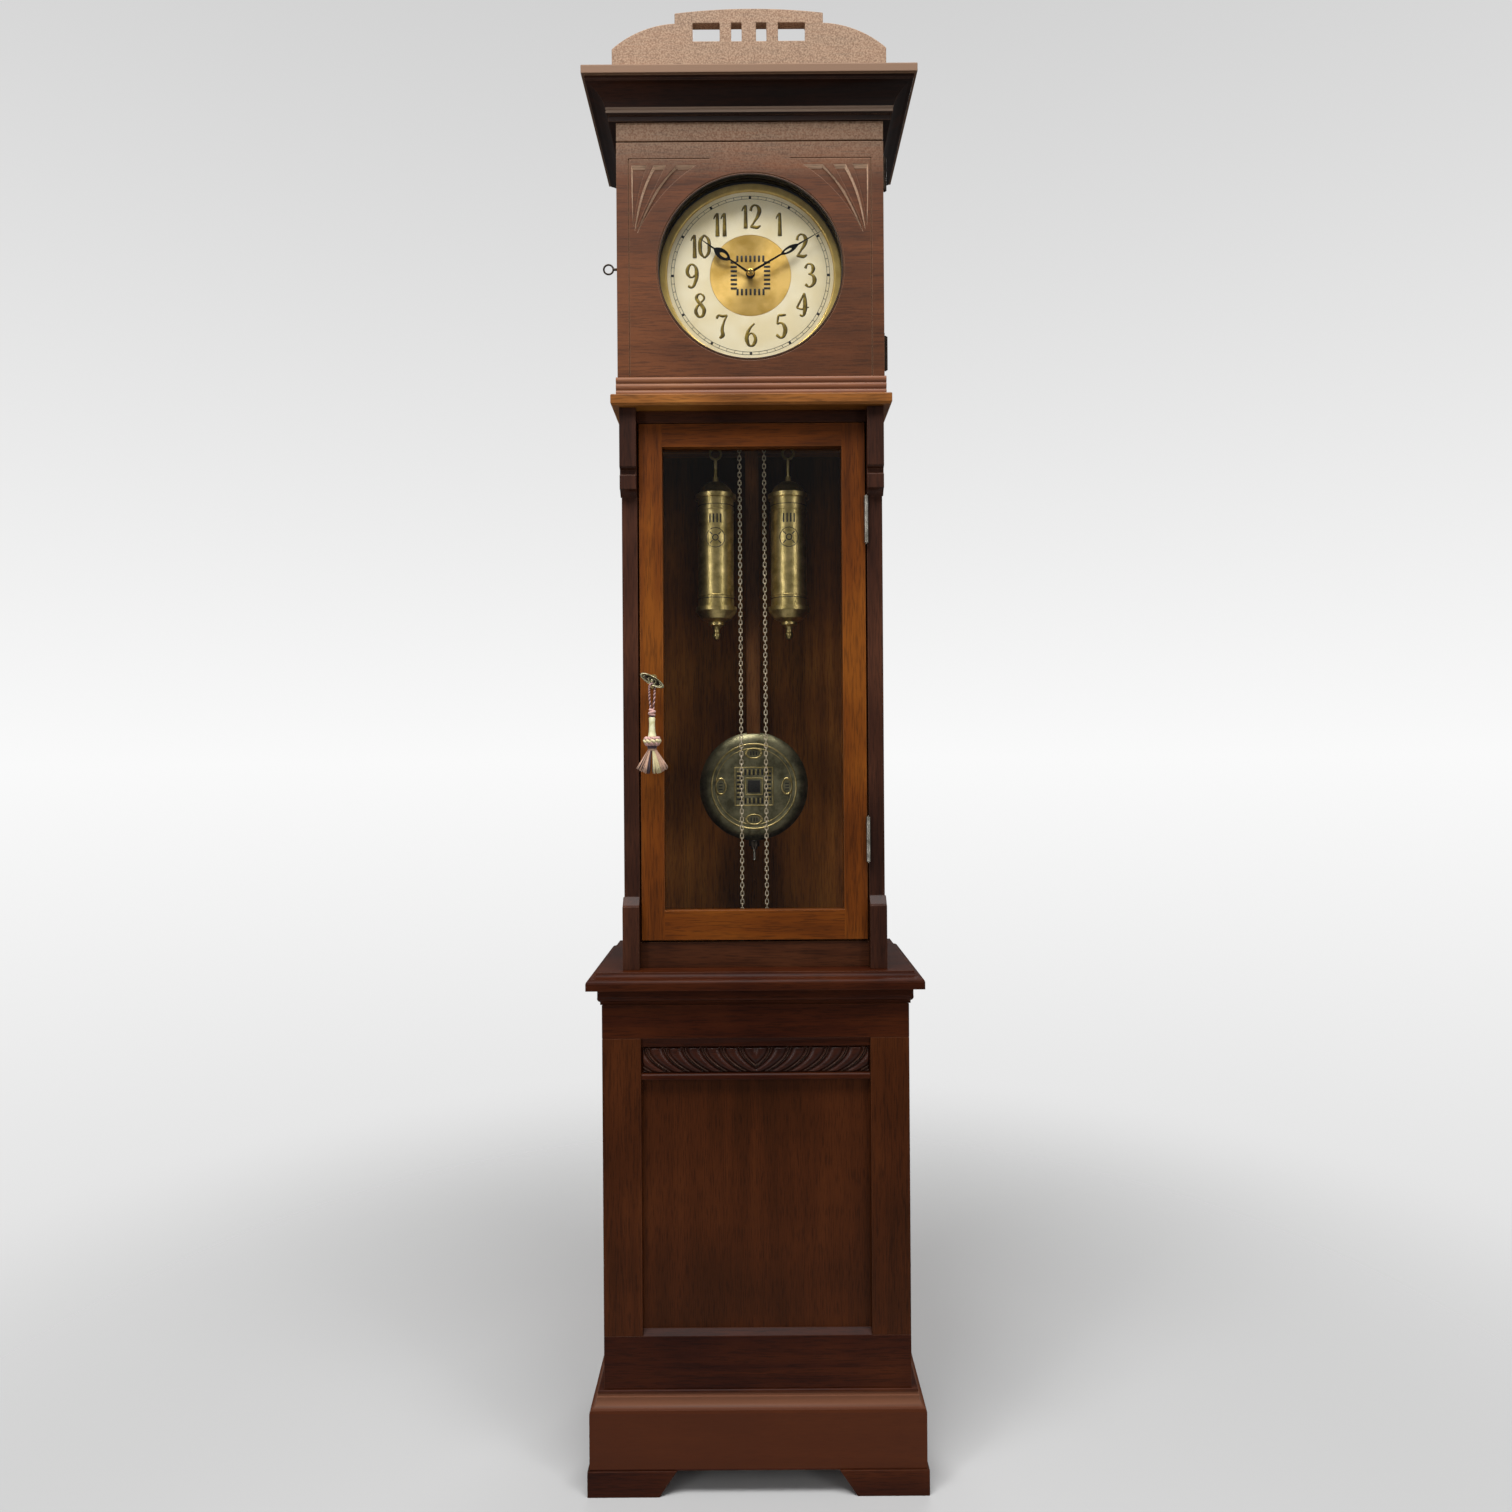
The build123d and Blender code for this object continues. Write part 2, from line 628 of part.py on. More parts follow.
with BuildPart() as trunk_glazing_beads:
    pair(glass_half, pane_half, -91.5, door_back, pane_low, pane_high)
    block(-glass_half, glass_half, -91.5, door_back, glass_high, pane_high)
    block(-glass_half, glass_half, -91.5, door_back, pane_low, glass_low)
trunk_glazing_beads.part.label = "trunk_glazing_beads"
export_step(trunk_glazing_beads.part, "parts/trunk_glazing_beads.step")

# butt hinges: three knuckles on one pin, leaves let into the gap beside the door
hinge_x, hinge_y, knuckle_r = 158.3, -108.4, 3
pin_r = 1.2
leaf_t = 1.05
trunk_hinges = ((855, 917), (1297, 1362))


def knuckles(x, y, low, high, middle):
    """Add the middle knuckle, or the outer two with the pin through all three."""
    third = (high - low) / 3
    if middle:
        post(x, y, low + third + 0.3, high - third - 0.3, knuckle_r)
        post(x, y, low, high, pin_r + fit, Mode.SUBTRACT)
    else:
        post(x, y, low, low + third, knuckle_r)
        post(x, y, high - third, high, knuckle_r)
        post(x, y, low - 1.5, high + 1.5, pin_r)


with BuildPart() as trunk_hinge_door_leaves:
    for low, high in trunk_hinges:
        third = (high - low) / 3
        knuckles(hinge_x, hinge_y, low, high, True)
        block(hinge_x - 1.3, hinge_x - 1.3 + leaf_t, hinge_y + 2.4, -104.9, low + third + 0.3,
              high - third - 0.3)
        block(door_half, door_half + leaf_t, -104.9, -88, low, high)
trunk_hinge_door_leaves.part.label = "trunk_hinge_door_leaves"
export_step(trunk_hinge_door_leaves.part, "parts/trunk_hinge_door_leaves.step")

with BuildPart() as trunk_hinge_case_leaves:
    for low, high in trunk_hinges:
        third = (high - low) / 3
        knuckles(hinge_x, hinge_y, low, high, False)
        for z0, z1 in ((low, low + third), (high - third, high)):
            block(pilaster_in - leaf_t, pilaster_in, hinge_y + 2.4, -104.9, z0, z1)
        block(pilaster_in - leaf_t, pilaster_in, -104.9, -88, low, high)
trunk_hinge_case_leaves.part.label = "trunk_hinge_case_leaves"
export_step(trunk_hinge_case_leaves.part, "parts/trunk_hinge_case_leaves.step")

# lock on the back of the left stile; its bolt slides out behind the pilaster
with BuildPart() as trunk_lock:
    block(-156, -129, door_back, -77.5, 1085, 1130)
    block(-154, -131, -85, -79, 1099, 1124, Mode.SUBTRACT)
    block(-157, -154, -84.6, -80.4, 1113.4, 1121.6, Mode.SUBTRACT)
    rod(key_x, key_z, door_back - 0.5, -84.5, 2.6, Mode.SUBTRACT)
    # escutcheon plate round the keyhole, on the face of the door
    with BuildSketch(Plane.XZ.offset(-door_front)):
        with Locations((key_x, key_z)):
            SlotOverall(20, 11, rotation=90)
            Circle(2.6, mode=Mode.SUBTRACT)
    extrude(amount=1.2)
trunk_lock.part.label = "trunk_lock"
export_step(trunk_lock.part, "parts/trunk_lock.step")

with BuildPart() as trunk_lock_bolt:
    block(-155.9, -134, -84.3, -80.7, 1113.7, 1121.3)
trunk_lock_bolt.part.label = "trunk_lock_bolt"
export_step(trunk_lock_bolt.part, "parts/trunk_lock_bolt.step")

bow_y, bow_wire = -122, 2.2
bow_tilt = 30
with BuildPart() as trunk_key:
    rod(key_x, key_z, bow_y, -80, 1.9)
    rod(key_x, key_z, -112, -109, 3.4)
    block(key_x - 1.2, key_x + 1.2, -83.5, -81, key_z - 5.5, key_z)
    long_axis = (cos(radians(bow_tilt)), 0, -sin(radians(bow_tilt)))
    bow_plane = Plane(origin=(key_x, bow_y + bow_wire, key_z), x_dir=long_axis, z_dir=(0, -1, 0))
    with BuildSketch(bow_plane):
        Ellipse(19, 7.5)
        Ellipse(14.6, 3.6, mode=Mode.SUBTRACT)
        Rectangle(4.2, 12)
    extrude(amount=2 * bow_wire)
trunk_key.part.label = "trunk_key"
export_step(trunk_key.part, "parts/trunk_key.step")

# ---- tassel on the key ----

# the loop hangs in front of the bow, which turns behind it
tassel_x, tassel_y = key_x, bow_y - 4.4
loop_top, knot_z = key_z - 13, 1062
with BuildPart() as tassel_cord:
    for side in (-1, 1):
        with BuildLine() as leg:
            FilletPolyline((tassel_x + side * 3.6, tassel_y, loop_top),
                           (tassel_x + side * 3.3, tassel_y, 1081),
                           (tassel_x + side * 1.7, tassel_y, knot_z + 4), radius=60)
        with BuildSketch(Plane(leg.line @ 0, z_dir=leg.line % 0)):
            Circle(1.35)
        sweep(path=leg.line)
tassel_cord.part.label = "tassel_cord"
export_step(tassel_cord.part, "parts/tassel_cord.step")

tassel_outline = [(0, 1066), (3.4, 1064.6), (4.6, 1061.5), (3.2, 1057), (4.6, 1055), (4.4, 1042), (4.2, 1036),
                  (6.4, 1029), (11.6, 1027), (11.8, 1020), (8, 1018.5), (6.5, 1014), (0, 1014)]
with BuildPart() as tassel_head:
    with BuildSketch(Plane.XZ.offset(-tassel_y)):
        with BuildLine():
            Polyline([(tassel_x + r, z) for r, z in tassel_outline], close=True)
        make_face()
    revolve(axis=Axis((tassel_x, tassel_y, 0), (0, 0, 1)))
    block(tassel_x - 9, tassel_x + 9, tassel_y - 9, tassel_y + 9, 1065.9, 1070, Mode.SUBTRACT)
tassel_head.part.label = "tassel_head"
export_step(tassel_head.part, "parts/tassel_head.step")

skirt_low = 977
with BuildPart() as tassel_skirt:
    with BuildSketch(Plane.XY.offset(1014)) as waist_ring:
        with Locations((tassel_x, tassel_y)):
            Ellipse(6, 5)
    with BuildSketch(Plane.XY.offset(skirt_low)) as hem:
        with Locations((tassel_x, tassel_y)):
            Ellipse(24, 8)
    loft()
tassel_skirt.part.label = "tassel_skirt"
export_step(tassel_skirt.part, "parts/tassel_skirt.step")

# ---- hood door ----

pane_r = opening_r + 6
spandrel = (((-163.8, 1821.5), (-163.6, 1779), (-161.8, 1737), (-154.8, 1779), (-142.6, 1821.5)),
            ((-133, 1821.5), (-149.5, 1783.3), (-159.6, 1731), (-136.7, 1781.2), (-116, 1821.5)),
            ((-101.2, 1821.5), (-129.2, 1787.5), (-156.6, 1727), (-115.5, 1787.5), (-74.2, 1821.5)))
flute_depth = 3
with BuildPart() as hood_door_frame:
    block(-hood_half, hood_half, hood_front, hood_door_back, hood_door_low, hood_door_high)
    rod(0, dial_z, hood_front - 1, hood_door_back + 1, opening_r, Mode.SUBTRACT)
    rod(0, dial_z, -101, hood_door_back + 1, pane_r, Mode.SUBTRACT)
    with BuildSketch(Plane.XZ.offset(-hood_front)):
        for flute in spandrel:
            with BuildLine():
                ThreePointArc(*flute[:3])
                ThreePointArc(*flute[2:])
                Line(flute[4], flute[0])
            make_face()
        mirror(about=Plane.YZ)
    extrude(amount=-flute_depth, mode=Mode.SUBTRACT)
    # incised lines beside the edges and over the spandrels
    with BuildSketch(Plane.XZ.offset(-hood_front)):
        for side in (-1, 1):
            with Locations((side * 168, (hood_door_low + 1831) / 2)):
                Rectangle(1.2, 1831 - hood_door_low)
            with Locations((side * 112, 1830.4)):
                Rectangle(112, 1.2)
        with Locations((0, dial_z)):
            Circle(opening_r + 3.4)
            Circle(opening_r + 2.2, mode=Mode.SUBTRACT)
    extrude(amount=-1, mode=Mode.SUBTRACT)
    # bore and pocket for the side key
    with Locations(Location((-172, -102, latch_z), (0, 90, 0))):
        Cylinder(2.2, 30, mode=Mode.SUBTRACT)
    block(-179.6, -174.4, -106, hood_door_back + 1, latch_z - 5, latch_z + 18, Mode.SUBTRACT)
hood_door_frame.part.label = "hood_door_frame"
export_step(hood_door_frame.part, "parts/hood_door_frame.step")

with BuildPart() as hood_door_glass:
    rod(0, dial_z, -101, -98.5, pane_r - 0.4)
hood_door_glass.part.label = "hood_door_glass"
export_step(hood_door_glass.part, "parts/hood_door_glass.step")

with BuildPart() as hood_glazing_ring:
    rod(0, dial_z, -98.5, hood_door_back, pane_r - 0.4)
    rod(0, dial_z, -99, hood_door_back + 1, opening_r, Mode.SUBTRACT)
hood_glazing_ring.part.label = "hood_glazing_ring"
export_step(hood_glazing_ring.part, "parts/hood_glazing_ring.step")

hood_hinge_x, hood_hinge_y = hood_half + 3.4, -93
hood_hinges = ((1542, 1588), (1793, 1839))
hood_leaf = 0.8
with BuildPart() as hood_hinge_door_leaves:
    for low, high in hood_hinges:
        third = (high - low) / 3
        knuckles(hood_hinge_x, hood_hinge_y, low, high, True)
        block(hood_half, hood_half + hood_leaf, -107, -95.4, low, high)
        block(hood_half, hood_half + 2, -96.5, -93.6, low + third + 0.3, high - third - 0.3)
hood_hinge_door_leaves.part.label = "hood_hinge_door_leaves"
export_step(hood_hinge_door_leaves.part, "parts/hood_hinge_door_leaves.step")

with BuildPart() as hood_hinge_case_leaves:
    for low, high in hood_hinges:
        third = (high - low) / 3
        knuckles(hood_hinge_x, hood_hinge_y, low, high, False)
        block(hood_half, hood_half + hood_leaf, -90.6, -79, low, high)
        for z0, z1 in ((low, low + third), (high - third, high)):
            block(hood_half, hood_half + 2, -92.4, -89.5, z0, z1)
hood_hinge_case_leaves.part.label = "hood_hinge_case_leaves"
export_step(hood_hinge_case_leaves.part, "parts/hood_hinge_case_leaves.step")

with BuildPart() as hood_key:
    with Locations(Location((-178, -102, latch_z), (0, 90, 0))):
        Cylinder(1.75, 28)
    block(-179, -175, -104, -100, latch_z, latch_z + 16)
    with Locations(Location((-197.5, -102, latch_z), (90, 0, 0))):
        Torus(6.6, 1.25)
hood_key.part.label = "hood_key"
export_step(hood_key.part, "parts/hood_key.step")
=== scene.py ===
import math
import random

import bpy
from mathutils import Matrix, Vector


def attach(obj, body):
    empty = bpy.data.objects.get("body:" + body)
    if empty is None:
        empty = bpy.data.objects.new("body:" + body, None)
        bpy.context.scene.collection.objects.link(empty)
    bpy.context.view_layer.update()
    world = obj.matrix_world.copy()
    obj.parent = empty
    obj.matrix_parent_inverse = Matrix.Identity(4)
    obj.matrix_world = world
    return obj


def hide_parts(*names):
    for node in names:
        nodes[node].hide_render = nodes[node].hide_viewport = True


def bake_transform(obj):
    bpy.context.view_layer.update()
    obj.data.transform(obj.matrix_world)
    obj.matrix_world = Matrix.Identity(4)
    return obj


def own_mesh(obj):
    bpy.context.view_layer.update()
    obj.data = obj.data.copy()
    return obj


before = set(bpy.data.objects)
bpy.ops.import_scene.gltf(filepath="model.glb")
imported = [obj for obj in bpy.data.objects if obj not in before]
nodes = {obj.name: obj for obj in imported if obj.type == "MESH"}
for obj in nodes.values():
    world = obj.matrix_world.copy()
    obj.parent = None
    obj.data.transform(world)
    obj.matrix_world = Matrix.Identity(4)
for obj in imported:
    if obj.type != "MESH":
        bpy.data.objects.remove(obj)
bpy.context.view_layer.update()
random.seed(12)
mm = 0.001
dialAxis = 1681 * mm  # height of the hands' arbor
railInner = 125 * mm  # half the width between the trunk door's stiles


# ---- helpers ----

def linear(hexColour):
    # sRGB hex to the linear colour that shaders want
    parts = [int(hexColour[i:i + 2], 16) / 255 for i in (1, 3, 5)]
    return [c / 12.92 if c <= 0.04045 else ((c + 0.055) / 1.055) ** 2.4 for c in parts] + [1]


def addNode(tree, kind, links=None, **settings):
    # settings name either a socket or a property of the node
    node = tree.nodes.new(kind)
    for name, value in settings.items():
        socket = node.inputs.get(name.replace("_", " "))
        if hasattr(node, name):
            setattr(node, name, value)
        elif socket is not None:
            socket.default_value = value
    for name, source in (links or {}).items():
        tree.links.new(source, node.inputs[name])
    return node


def startMaterial(name):
    material = bpy.data.materials.new(name)
    material.use_nodes = True
    tree = material.node_tree
    tree.nodes.clear()
    return material, tree


def finishMaterial(tree, shader):
    out = addNode(tree, "ShaderNodeOutputMaterial")
    tree.links.new(shader.outputs[0], out.inputs["Surface"])


def colourRamp(tree, factor, stops):
    ramp = addNode(tree, "ShaderNodeValToRGB", {"Fac": factor})
    elements = ramp.color_ramp.elements
    while len(elements) < len(stops):
        elements.new(0.5)
    for element, (place, colour) in zip(elements, stops):
        element.position = place
        element.color = linear(colour)
    return ramp


def absolute(tree, source):
    return addNode(tree, "ShaderNodeMath", {0: source}, operation="ABSOLUTE").outputs[0]


def deselectAll():
    if bpy.context.object and bpy.context.object.mode != "OBJECT":
        bpy.ops.object.mode_set(mode="OBJECT")
    bpy.ops.object.select_all(action="DESELECT")


def applyModifiers(piece):
    deselectAll()
    piece.select_set(True)
    bpy.context.view_layer.objects.active = piece
    for modifier in list(piece.modifiers):
        bpy.ops.object.modifier_apply(modifier=modifier.name)


def settle(piece, name, material, smooth=True):
    # the piece's place goes into its mesh, and its object to the origin
    piece.data.transform(piece.matrix_world)
    piece.matrix_world = Matrix.Identity(4)
    piece.name = name
    piece.data.name = name
    piece.data.materials.clear()
    piece.data.materials.append(material)
    if smooth:
        piece.data.polygons.foreach_set("use_smooth", [True] * len(piece.data.polygons))
    return piece


def joinPieces(pieces, name, body):
    deselectAll()
    for piece in pieces:
        piece.select_set(True)
    bpy.context.view_layer.objects.active = pieces[0]
    if len(pieces) > 1:
        bpy.ops.object.join()
    joined = bpy.context.view_layer.objects.active
    joined.name = name
    joined.data.name = name
    if body:
        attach(joined, body)
    return joined


def closeMesh():
    # in edit mode: seams and poles are merged and the faces turned outwards
    bpy.ops.mesh.select_all(action="SELECT")
    bpy.ops.mesh.remove_doubles(threshold=0.005 * mm)
    bpy.ops.mesh.normals_make_consistent(inside=False)
    bpy.ops.object.mode_set(mode="OBJECT")


def softBar(centre, size, material, name="bar", bevel=0.3 * mm, turn=0.0, taper=1.0):
    # a small bar with rounded edges; taper narrows its upper end
    deselectAll()
    bpy.ops.mesh.primitive_cube_add(size=1, location=(0, 0, 0))
    bar = bpy.context.object
    bar.scale = size
    bpy.ops.object.transform_apply(location=False, rotation=False, scale=True)
    for vertex in bar.data.vertices:
        if vertex.co.z > 0:
            vertex.co.x *= taper
    edgeRound = bar.modifiers.new("edgeRound", "BEVEL")
    edgeRound.width = bevel
    edgeRound.segments = 2
    applyModifiers(bar)
    bar.matrix_world = Matrix.Translation(centre) @ Matrix.Rotation(turn, 4, "Y")
    return settle(bar, name, material)


def ringPiece(centre, radius, wire, material, name="ring", axis="Y", squeeze=(1, 1, 1), segments=(64, 12),
              turn=0.0):
    deselectAll()
    bpy.ops.mesh.primitive_torus_add(major_segments=segments[0], minor_segments=segments[1],
                                     major_radius=radius, minor_radius=wire)
    ring = bpy.context.object
    facing = {"Y": Matrix.Rotation(math.pi / 2, 4, "X"), "Z": Matrix.Identity(4),
              "X": Matrix.Rotation(math.pi / 2, 4, "Y")}[axis]
    stretch = Matrix.Diagonal((*squeeze, 1))
    ring.matrix_world = Matrix.Translation(centre) @ Matrix.Rotation(turn, 4, "Y") @ facing @ stretch
    return settle(ring, name, material)


def turnedPiece(profile, centre, material, name, axis="Z", steps=40):
    # a circle drawn out along its axis and made wider or narrower at each (radius, height) of the profile
    deselectAll()
    radius, height = profile[0]
    point = 0.001 * mm  # stands for a radius of nothing until the doubles are merged
    bpy.ops.mesh.primitive_circle_add(vertices=steps, radius=max(radius, point), location=(0, 0, 0))
    piece = bpy.context.object
    bpy.ops.object.mode_set(mode="EDIT")
    bpy.ops.mesh.select_all(action="SELECT")
    bpy.ops.transform.translate(value=(0, 0, height))
    for nextRadius, nextHeight in profile[1:]:
        bpy.ops.mesh.extrude_region_move(TRANSFORM_OT_translate={"value": (0, 0, nextHeight - height)})
        grow = max(nextRadius, point) / max(radius, point)
        bpy.ops.transform.resize(value=(grow, grow, 1), center_override=(0, 0, 0))
        radius, height = nextRadius, nextHeight
    closeMesh()
    facing = Matrix.Rotation(math.pi / 2, 4, "X") if axis == "Y" else Matrix.Identity(4)
    piece.matrix_world = Matrix.Translation(centre) @ facing
    return settle(piece, name, material)


def meshFromCurve(curve, name):
    deselectAll()
    holder = bpy.data.objects.new(name, curve)
    bpy.context.scene.collection.objects.link(holder)
    holder.select_set(True)
    bpy.context.view_layer.objects.active = holder
    bpy.ops.object.convert(target="MESH")
    return bpy.context.object


def drawnWires(routes, radii, name, material, sides=8, closed=False, curved=False):
    # round wires along the routes; radii gives one radius for every point of a route
    curve = bpy.data.curves.new(name, "CURVE")
    curve.dimensions = "3D"
    curve.bevel_depth = 1.0
    curve.bevel_resolution = sides // 2 - 2
    curve.use_fill_caps = not closed
    curve.resolution_u = 8
    for route, widths in zip(routes, radii):
        spline = curve.splines.new("BEZIER" if curved else "POLY")
        knots = spline.bezier_points if curved else spline.points
        knots.add(len(route) - 1)
        spline.use_cyclic_u = closed
        for knot, point, width in zip(knots, route, widths):
            knot.co = point if curved else (*point, 1)
            knot.radius = width
            if curved:
                knot.handle_left_type = knot.handle_right_type = "AUTO"
    piece = meshFromCurve(curve, name)
    bpy.ops.object.mode_set(mode="EDIT")
    closeMesh()
    return settle(piece, name, material)


# ---- materials ----

def woodMaterial(name, dark, middle, light, grain, rough, shift, speckle=None, edge=None,
                 cloudyFrom=(1.80, 1.91), shine=0.2, tints=(), paintedShadeWithin=None,
                 railWithin=None):
    # slow bands of colour along the grain, fine pores, faint wear and painted highlights on the arrises; old wax
    # leaves it half glossy
    material, tree = startMaterial(name)
    here = addNode(tree, "ShaderNodeTexCoord").outputs["Object"]
    spot = addNode(tree, "ShaderNodeSeparateXYZ", {"Vector": here})
    stretch = {"Z": (1, 1, 0.06), "X": (0.06, 1, 1)}[grain]
    lengthwise = addNode(tree, "ShaderNodeMapping", {"Vector": here},
                         Location=(shift, shift, shift), Scale=stretch)
    grainWay = lengthwise.outputs[0]
    if railWithin:  # the rails between the stiles have their grain lying across
        across = addNode(tree, "ShaderNodeMapping", {"Vector": here},
                         Location=(shift, shift, shift + 1.7), Scale=(0.06, 1, 1))
        onRail = addNode(tree, "ShaderNodeMath", {0: absolute(tree, spot.outputs["X"])}, operation="LESS_THAN")
        onRail.inputs[1].default_value = railWithin
        turned = addNode(tree, "ShaderNodeMix", {0: onRail.outputs[0], 4: lengthwise.outputs[0],
                                                5: across.outputs[0]}, data_type="VECTOR")
        grainWay = turned.outputs[1]
    bands = addNode(tree, "ShaderNodeTexNoise", {"Vector": grainWay}, Scale=55.0, Detail=4.0,
                    Roughness=0.55, Distortion=0.3)
    pores = addNode(tree, "ShaderNodeTexNoise", {"Vector": grainWay}, Scale=650.0, Detail=2.0,
                    Roughness=0.6)
    clouds = addNode(tree, "ShaderNodeTexNoise", {"Vector": here}, Scale=5.0, Detail=2.0)
    mixed = addNode(tree, "ShaderNodeMix", {2: bands.outputs["Fac"], 3: clouds.outputs["Fac"]})
    mixed.inputs[0].default_value = 0.6
    base = colourRamp(tree, mixed.outputs[0], [(0.38, dark), (0.5, middle), (0.62, light)])
    poreMask = colourRamp(tree, pores.outputs["Fac"], [(0.36, "#A8A8A8"), (0.52, "#FFFFFF")])
    shaded = addNode(tree, "ShaderNodeMix", {6: base.outputs[0], 7: poreMask.outputs[0]}, data_type="RGBA",
                     blend_type="MULTIPLY")
    shaded.inputs[0].default_value = 0.65
    colour = shaded.outputs[2]
    if speckle:  # finish gone cloudy: pale flecks 2 to 4 mm across, thicker between the two heights
        flecks = addNode(tree, "ShaderNodeTexNoise", {"Vector": here}, Scale=460.0, Detail=3.0)
        upward = addNode(tree, "ShaderNodeMapRange", {"Value": spot.outputs["Z"]}, From_Min=cloudyFrom[0],
                         From_Max=cloudyFrom[1], To_Min=0.02, To_Max=0.7)
        fleckMask = colourRamp(tree, flecks.outputs["Fac"], [(0.34, "#A6A6A6"), (0.64, "#FFFFFF")])
        amount = addNode(tree, "ShaderNodeMath", {0: fleckMask.outputs[0], 1: upward.outputs[0]},
                         operation="MULTIPLY")
        bleached = addNode(tree, "ShaderNodeMix", {0: amount.outputs[0], 6: colour}, data_type="RGBA")
        bleached.inputs[7].default_value = linear(speckle)
        colour = bleached.outputs[2]
    flat = addNode(tree, "ShaderNodeNewGeometry")
    for low, high, soft, amount, tintColour in tints:  # a belt, in metres up, that has another tone: the wood's own tone on some boards, painted shade or a painted highlight on others
        above = addNode(tree, "ShaderNodeMapRange", {"Value": spot.outputs["Z"]}, From_Min=low - soft,
                        From_Max=low + soft, To_Min=0.0, To_Max=amount)
        below = addNode(tree, "ShaderNodeMapRange", {"Value": spot.outputs["Z"]}, From_Min=high - soft,
                        From_Max=high + soft, To_Min=amount, To_Max=0.0)
        belt = addNode(tree, "ShaderNodeMath", {0: above.outputs[0], 1: below.outputs[0]}, operation="MINIMUM")
        tinted = addNode(tree, "ShaderNodeMix", {0: belt.outputs[0], 6: colour}, data_type="RGBA")
        tinted.inputs[7].default_value = linear(tintColour)
        colour = tinted.outputs[2]
    if paintedShadeWithin:  # the wall of the round opening is painted black: painted shade
        fromAxis = addNode(tree, "ShaderNodeMapping", {"Vector": here},
                           Location=(0, 0, -dialAxis), Scale=(1, 0, 1))
        reach = addNode(tree, "ShaderNodeVectorMath", {0: fromAxis.outputs[0]}, operation="LENGTH")
        openingShadeMask = addNode(tree, "ShaderNodeMapRange", {"Value": reach.outputs["Value"]}, From_Min=paintedShadeWithin,
                        From_Max=paintedShadeWithin + 0.6 * mm, To_Min=1.0, To_Max=0.0)
        openingShaded = addNode(tree, "ShaderNodeMix", {0: openingShadeMask.outputs[0], 6: colour}, data_type="RGBA")
        openingShaded.inputs[7].default_value = linear("#0B0705")
        colour = openingShaded.outputs[2]
    softened = None
    if edge:  # pale arrises: partly polish rubbed off, partly a painted highlight where light catches the edges
        softened = addNode(tree, "ShaderNodeBevel", samples=4)
        softened.inputs["Radius"].default_value = 1.3 * mm
        turn = addNode(tree, "ShaderNodeVectorMath", {0: softened.outputs[0], 1: flat.outputs["Normal"]},
                       operation="DOT_PRODUCT")
        wearAndHighlightMask = addNode(tree, "ShaderNodeMapRange", {"Value": turn.outputs["Value"]}, From_Min=0.985,
                         From_Max=0.8, To_Min=0.0, To_Max=0.5)
        wornAndLitArrises = addNode(tree, "ShaderNodeMix", {0: wearAndHighlightMask.outputs[0], 6: colour}, data_type="RGBA")
        wornAndLitArrises.inputs[7].default_value = linear(edge)
        colour = wornAndLitArrises.outputs[2]
    roughRange = addNode(tree, "ShaderNodeMapRange", {"Value": clouds.outputs["Fac"]}, To_Min=rough - 0.06,
                         To_Max=rough + 0.1)
    relief = addNode(tree, "ShaderNodeBump", {"Height": pores.outputs["Fac"]}, Strength=0.1, Distance=0.0005)
    if softened:
        tree.links.new(softened.outputs[0], relief.inputs["Normal"])
    shader = addNode(tree, "ShaderNodeBsdfPrincipled", {"Base Color": colour, "Roughness": roughRange.outputs[0],
                                                       "Normal": relief.outputs[0]}, IOR=1.45)
    shader.inputs["Specular IOR Level"].default_value = shine
    finishMaterial(tree, shader)
    return material


def metalMaterial(name, bright, tarnish, rough, spread, spotScale=90.0):
    # cast or turned metal: slow tarnish clouds, fine scratches, uneven shine
    material, tree = startMaterial(name)
    here = addNode(tree, "ShaderNodeTexCoord").outputs["Object"]
    clouds = addNode(tree, "ShaderNodeTexNoise", {"Vector": here}, Scale=spotScale, Detail=6.0,
                     Roughness=0.62)
    fine = addNode(tree, "ShaderNodeTexNoise", {"Vector": here}, Scale=1500.0, Detail=2.0)
    colour = colourRamp(tree, clouds.outputs["Fac"], [(0.38, tarnish), (0.62, bright)])
    roughRange = addNode(tree, "ShaderNodeMapRange", {"Value": clouds.outputs["Fac"]}, To_Min=rough + spread,
                         To_Max=max(0.05, rough - spread))
    relief = addNode(tree, "ShaderNodeBump", {"Height": fine.outputs["Fac"]}, Strength=0.06, Distance=0.0003)
    shader = addNode(tree, "ShaderNodeBsdfPrincipled", {"Base Color": colour.outputs[0],
                                                       "Roughness": roughRange.outputs[0],
                                                       "Normal": relief.outputs[0]}, Metallic=1.0)
    finishMaterial(tree, shader)
    return material


